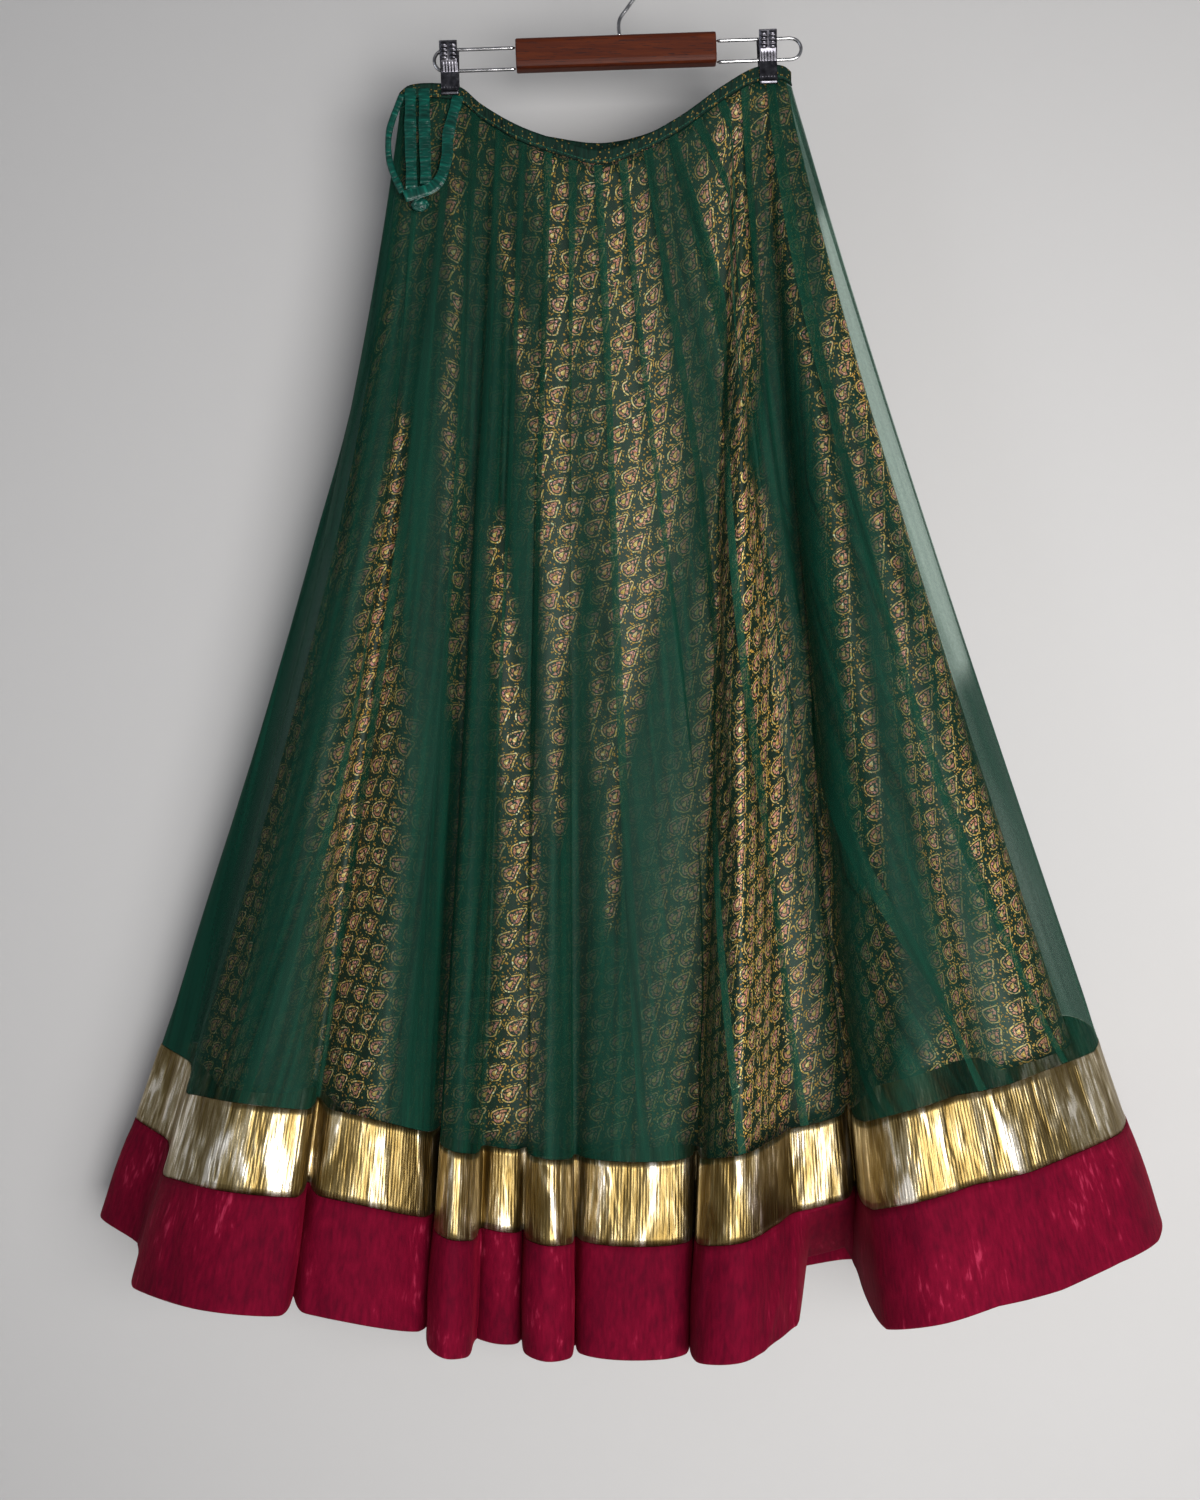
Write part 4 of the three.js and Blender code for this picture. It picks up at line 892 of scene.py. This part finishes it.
LINING_CREASES = [
    (0.045, 0.052, 0.2, 0.9, 14, -3.0), (0.112, 0.104, 0.3, 0.85, 12, 2.6),
    (0.168, 0.175, 0.15, 0.8, 15, -2.8), (0.231, 0.226, 0.3, 0.95, 16, 2.4),
    (0.296, 0.303, 0.2, 0.7, 12, -2.6), (0.352, 0.346, 0.4, 0.95, 14, 2.8),
    (0.418, 0.424, 0.2, 0.9, 15, -3.0), (0.472, 0.469, 0.3, 0.85, 12, 2.4),
    (0.540, 0.547, 0.2, 0.9, 15, -2.8), (0.618, 0.611, 0.3, 0.8, 13, 2.6),
    (0.690, 0.697, 0.15, 0.9, 16, -3.0), (0.766, 0.759, 0.35, 0.95, 14, 2.6),
    (0.838, 0.845, 0.2, 0.8, 13, -2.6), (0.915, 0.908, 0.3, 0.9, 15, 2.8)]


def seam_ridge(share, q, gores, girth, high):
    """Seams stand a little proud between the gores, which hollow slightly."""
    off = (share * gores + 0.5) % 1 - 0.5
    mm = off / gores * girth * mix(0.18, 1, q)
    ridge = high * (np.exp(-(mm / 5.0) ** 2) - 0.35)
    return ridge * soft_step(q / 0.06) * soft_step((1 - q) / 0.05)


def net_relief(share, q):
    girth = net.hem_length * mix(0.2, 0.86, q)
    rest = soft_step(q / 0.08) * soft_step((1 - q) / 0.06)
    return creased(share % 1, q, NET_CREASES, girth) * rest + seam_ridge(
        share, q, GORES, net.hem_length, 1.3)


def lining_relief(share, q):
    girth = lining.hem_length * mix(0.2, 0.86, q)
    return creased(share % 1, q, LINING_CREASES, girth) * soft_step(q / 0.15) * 0.8


for side, span in (("front", (0.0, 0.5)), ("back", (0.5, 1.0))):
    gores = GORES // 2
    piece = cloth_piece(f"net_skirt_{side}", net, span, gores * NET_COLUMNS, NET_ROWS, net_fall,
                        net.from_seams, net_relief, 0, NET_COLUMNS, NET_ONE)
    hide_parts(*[f"net_gore_{side}_{i:02d}" for i in range(1, gores + 1)])
    # seam allowances, folded flat behind the net beside each seam
    strips, faces, uvs, count = [], [], [], 0
    for k in range(gores):
        centre = span[0] + k / GORES
        q = np.linspace(0, 1, NET_ROWS + 1)[:, None] * np.ones((1, 4))
        girth = net.hem_length * mix(0.175, 0.93, q)
        wide = mix(ALLOWANCE_TOP, ALLOWANCE_HEM, q)
        share = centre + np.array([[0.0, 0.34, 0.68, 1.0]]) * wide / girth
        grid, out = laid(net, share, q, net_fall, net.from_seams, net_relief)
        grid = grid - out * ALLOWANCE_BEHIND
        left, right, down = running(grid, 3)
        verts, quad, uv = cloth_faces(grid, out, 0, left + 31.0 * k, right + 31.0 * k, down)
        strips.append(verts)
        faces.append(quad + count)
        uvs.append(uv)
        count += len(verts)
    seams = mesh_piece(f"net_seam_allowances_{side}", np.concatenate(strips),
                       np.concatenate(faces), NET_SEAM_PAINTED_PALER, np.concatenate(uvs))
    seams.parent = piece

for side, span, nodes in (("front", (0.0, 0.5), ("lining_front_left", "lining_front_right")),
                          ("back", (0.5, 1.0), ("lining_back_right", "lining_back_left"))):
    piece = cloth_piece(f"lining_{side}", lining, span, LINING_GORES // 2 * LINING_COLUMNS,
                        LINING_ROWS, lining_fall, lining.from_seams, lining_relief, 0.7,
                        LINING_COLUMNS, FOIL)
    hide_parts(*nodes)

# ---- border bands; they run round between the side seams
side_seams = [float(net.share_of(net.waist_place(share))) for share in (0, 0.5, 1)]


def on_hem(share, q):
    return net.place_of(share)


def gold_relief(share, q):
    """Lame keeps upright crinkles of uneven width, pressed flat along both sewn edges."""
    mm = share * net.hem_length
    waves = (np.sin(mm / 3.1 + 1.3 * np.sin(mm / 21)) * np.sin(mm / 47 + 0.4) ** 4 * 0.35
             + np.sin(mm / 6.4 + 2.0 * np.sin(mm / 57) + 0.5 * q) * np.sin(mm / 73) ** 2 * 0.45
             + np.sin(mm / 13.7 + 0.8) * 0.3)
    return waves * soft_step(q / 0.1) * soft_step((1 - q) / 0.1)


VELVET_CREASES = [  # shares of the hem above and below, top and bottom, width mm, depth mm
    (0.012, 0.018, 0.10, 0.95, 7, -1.2), (0.036, 0.030, 0.00, 0.70, 9, 1.4),
    (0.066, 0.072, 0.25, 1.00, 6, -1.3), (0.098, 0.094, 0.05, 0.80, 8, -1.4),
    (0.161, 0.165, 0.20, 1.00, 5, 1.0), (0.205, 0.201, 0.00, 0.75, 6, -1.2),
    (0.247, 0.252, 0.30, 1.00, 6, 1.1), (0.302, 0.296, 0.05, 0.90, 8, -1.5),
    (0.322, 0.334, 0.35, 0.95, 9, -2.0), (0.326, 0.317, 0.50, 1.00, 6, 1.8),
    (0.404, 0.408, 0.05, 0.95, 7, -1.3), (0.428, 0.425, 0.15, 0.90, 10, 1.5),
    (0.443, 0.449, 0.00, 0.80, 6, -1.2), (0.470, 0.463, 0.30, 1.00, 8, -1.6),
    (0.533, 0.528, 0.10, 0.90, 8, 1.4), (0.556, 0.560, 0.20, 1.00, 7, -1.3),
    (0.590, 0.586, 0.00, 0.80, 9, -1.5), (0.627, 0.633, 0.25, 1.00, 7, 1.2),
    (0.671, 0.667, 0.05, 0.90, 8, -1.4), (0.709, 0.714, 0.30, 1.00, 6, 1.2),
    (0.745, 0.741, 0.00, 0.75, 8, -1.3), (0.793, 0.797, 0.20, 0.95, 7, 1.3),
    (0.838, 0.832, 0.10, 0.90, 9, -1.5), (0.868, 0.873, 0.30, 1.00, 6, 1.1),
    (0.902, 0.897, 0.05, 0.85, 8, -1.4), (0.946, 0.951, 0.20, 1.00, 7, 1.3),
    (0.978, 0.974, 0.10, 0.80, 8, -1.3)]


def velvet_relief(share, q):
    mm = share * net.hem_length
    soft = np.sin(mm / 17 + 1.2 * np.sin(mm / 83)) * 0.6 + np.sin(mm / 31 + 1.0 + q) * 0.7
    roll = 1.2 * np.sin(np.pi * np.clip(q, 0, 1)) ** 2
    return (soft * soft_step(q / 0.25) + roll
            + creased(share, q, VELVET_CREASES, net.hem_length))


def waistband_relief(share, q):
    mm = share * net.hem_length
    return 0.12 * np.sin(mm / 2.9 + np.sin(mm / 11)) * np.sin(np.pi * q)


for i, side in enumerate(("front", "back")):
    span = (side_seams[i], side_seams[i + 1])
    gold = cloth_piece(f"lame_band_{side}", net, span, GOLD_COLUMNS, 12, gold_fall, on_hem,
                       gold_relief, 0.9, GOLD_COLUMNS, LAME)
    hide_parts(f"gold_band_{side}")
    # the velvet's hem is turned up, so its wall rounds off towards its foot
    heights = np.concatenate([np.linspace(0, 0.94, 14), [0.965, 0.982, 0.993, 1.0]])
    full = np.sqrt(np.clip(1 - ((heights - 0.97) / 0.031).clip(0) ** 2, 0.02, 1))[:, None, None]
    velvet = cloth_piece(f"velvet_hem_{side}", net, span, VELVET_COLUMNS, 17, velvet_fall, on_hem,
                         velvet_relief, 2.0 * full, VELVET_COLUMNS, VELVET,
                         heights)
    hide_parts(f"velvet_border_{side}")
    band = cloth_piece(f"waist_casing_{side}", net, span, CASING_COLUMNS, 6, waistband_fall,
                       on_hem, waistband_relief, CASING_WALL, CASING_COLUMNS, CASING)
    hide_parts(f"waistband_{side}")


# ---- hanger
BLOCK = {"x": -3.4, "z": -84, "width": 170, "height": 26}
LOOP = {"top": -77, "bottom": -95, "left": -158, "right": 154}
CLIPS = (("clip_left", -145), ("clip_right", 125))
JAW = [(-117.5, 1.3), (-112.5, 0.1), (-97.5, 0), (-89, 4.5), (-73.5, 7)]


def tilted(p):
    """Turns hanger points by its slight lean about the hook, right side up."""
    p = np.array(p, float)
    x, z = p[..., 0].copy(), p[..., 2].copy()
    p[..., 0] = x * math.cos(HANGER_TILT) - z * math.sin(HANGER_TILT)
    p[..., 2] = x * math.sin(HANGER_TILT) + z * math.cos(HANGER_TILT)
    return p


def wire(name, points, diameter, node):
    line, along, run = swept([(x, 0, z) for x, z in points], 14)
    side = np.array([0.0, 1.0, 0.0])
    face = np.cross(along, side)
    sides = 18
    turn = np.arange(sides) * 2 * math.pi / sides
    cos, sin = np.cos(turn)[None, :, None], np.sin(turn)[None, :, None]
    ring = side[None, None] * cos + face[:, None] * sin
    # cut ends are ground round
    ends = np.minimum(run, run[-1] - run)
    size = diameter / 2 * np.sqrt(np.clip(1 - (1 - ends / 0.9).clip(0) ** 2, 0.03, 1))
    verts = tilted(line[:, None] + ring * size[:, None, None]).reshape(-1, 3)
    piece = mesh_piece(name, verts, tube_faces(len(line), sides), WIRE)
    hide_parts(node)


hook_path = [(0, BLOCK["z"] + BLOCK["height"] / 2 + 0.3), (0.4, -57), (8, -46)]
for a in (-32, 0, 30, 60, 90, 120, 150, 180, 205):
    hook_path.append((math.cos(math.radians(a)) * HOOK_BEND,
                      HOOK_MIDDLE + math.sin(math.radians(a)) * HOOK_BEND))
wire("hook_wire", hook_path, HOOK_WIRE, "hanger_hook")
block_end = BLOCK["width"] / 2 + 0.3
for side, start, far, sign in (("left", BLOCK["x"] - block_end, LOOP["left"], 1),
                               ("right", BLOCK["x"] + block_end, LOOP["right"], -1)):
    middle = (LOOP["top"] + LOOP["bottom"]) / 2
    radius = (LOOP["top"] - LOOP["bottom"]) / 2
    bend = far + sign * radius
    leg = [start, mix(start, bend, 0.5), bend + sign * 4]
    path = [(x, LOOP["top"]) for x in leg]
    path += [(bend - sign * math.sin(math.radians(a)) * radius,
              middle + math.cos(math.radians(a)) * radius) for a in range(0, 181, 30)]
    path += [(x, LOOP["bottom"]) for x in reversed(leg)]
    wire(f"wire_loop_{side}", path, LOOP_WIRE, f"hanger_wire_{side}")


def jaw(name, centre, facing, node):
    """A pressed sheet jaw: two columns of four raised pads on the thumb end, long ribs down its
    face and a rolled lip that grips."""
    inside = CLIP_STAND + CASING_WALL / 2 + 0.75
    z_line = np.array([z for z, _ in JAW][::-1], float)
    y_line = np.array([inside + off for _, off in JAW][::-1], float)
    run = np.concatenate([[0], np.cumsum(np.hypot(np.diff(z_line), np.diff(y_line)))])
    t = np.linspace(0, run[-1], 121)
    z, y = np.interp(t, run, z_line), np.interp(t, run, y_line)
    for _ in range(6):  # eases the folds of the sheet
        y[1:-1] = (y[:-2] + 2 * y[1:-1] + y[2:]) / 4
    x = np.linspace(-7.5, 7.5, 49)
    tt, xx = np.meshgrid(t, x, indexing="ij")
    slope_y, slope_z = np.gradient(y), np.gradient(z)
    size = np.hypot(slope_y, slope_z)
    out_y, out_z = -slope_z / size, slope_y / size
    row = (tt - 1.6) / 3.4
    pad_row = np.cos(np.pi * ((row % 1) - 0.5)).clip(0) ** 0.6 * ((row >= 0) & (row < 4))
    pad_col = np.cos(np.pi * (np.abs(xx) - 3.7) / 5.2).clip(0) ** 0.6 * (np.abs(xx) > 1.1)
    pads = 1.05 * pad_row * pad_col
    ribs = (0.32 * (0.5 + 0.5 * np.cos(2 * np.pi * xx / 2.5)) * soft_step((tt - 16.5) / 2)
            * soft_step((run[-1] - 5.5 - tt) / 2))
    lip = 0.9 * np.exp(-((tt - run[-1] + 1.9) / 1.3) ** 2)
    edge = 0.5 * soft_step((np.abs(xx) - 6.6) / 0.7)
    raise_mm = 1.5 + pads + ribs + lip - edge
    outer = np.stack([xx, y[:, None] + out_y[:, None] * raise_mm,
                      z[:, None] + out_z[:, None] * raise_mm], -1)
    inner = np.stack([xx, np.broadcast_to(y[:, None], xx.shape),
                      np.broadcast_to(z[:, None], xx.shape)], -1)
    both = []
    for skin in (outer, inner):
        skin = skin.copy()
        skin[..., 1] *= facing
        skin[..., 0] = skin[..., 0] * (-facing) + centre
        both.append(tilted(skin))
    grid, normal = (both[0] + both[1]) / 2, both[0] - both[1]
    zero = np.zeros_like(tt)
    verts, faces, uv = cloth_faces(grid, normal, 1.0, zero[:, 1:], zero[:, 1:], zero)
    piece = mesh_piece(name, verts, faces, CLIP_STEEL)
    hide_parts(node)


for clip, centre in CLIPS:
    jaw(f"{clip}_front_plate", centre, -1, f"{clip}_front_jaw")
    jaw(f"{clip}_back_plate", centre, 1, f"{clip}_back_jaw")

for name, finish in (("hanger_wood_block", WOOD), ("clip_left_slide", CLIP_STEEL),
                     ("clip_right_slide", CLIP_STEEL)):
    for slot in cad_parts[name].material_slots:
        slot.material = finish


# ---- wall, floor and light
def plane(name, corners, finish):
    mesh = bpy.data.meshes.new(name)
    mesh.from_pydata(corners, [], [(0, 1, 2, 3)])
    mesh.materials.append(finish)
    made = bpy.data.objects.new(name, mesh)
    bpy.context.scene.collection.objects.link(made)


WALL_Y, FLOOR_Z = 0.122, -1.62
plane("back_wall", [(-4, WALL_Y, FLOOR_Z), (4, WALL_Y, FLOOR_Z), (4, WALL_Y, 2), (-4, WALL_Y, 2)],
      wall_paint("wall_emulsion", "#adadad", True))
plane("floor", [(-6, -6, FLOOR_Z), (6, -6, FLOOR_Z), (6, 6, FLOOR_Z), (-6, 6, FLOOR_Z)],
      wall_paint("pale_floor", "#cfcdca", False))

scene = bpy.context.scene
scene.view_settings.view_transform = "Standard"
world = bpy.data.worlds.new("soft_room_light")
scene.world = world
world.use_nodes = True
world.node_tree.nodes["Background"].inputs["Color"].default_value = linear("#dfe2e8")
world.node_tree.nodes["Background"].inputs["Strength"].default_value = 0.23


def window(name, at, aim, size, power, tint="#ffffff", spread=180):
    light = bpy.data.lights.new(name, "AREA")
    light.shape = "RECTANGLE"
    light.size, light.size_y = size
    light.energy = power
    light.spread = math.radians(spread)
    light.color = linear(tint)[:3]
    made = bpy.data.objects.new(name, light)
    made.location = at
    way = np.array(aim, float) - np.array(at, float)
    made.rotation_euler = (math.atan2(math.hypot(way[0], way[1]), -way[2]), 0,
                           math.atan2(way[0], -way[1]) + math.pi)
    scene.collection.objects.link(made)


window("window_front", (0.75, -2.3, -1.0), (0.42, 0, -0.8), (1.5, 1.3), 37, "#fffcfa", 105)
window("window_left", (-1.9, -1.8, -0.3), (-0.1, 0, -0.7), (0.7, 1.4), 7, "#eef3ff")
window("bounce_behind", (0.2, 2.2, 0.2), (0, 0, -0.6), (1.6, 1.6), 14)
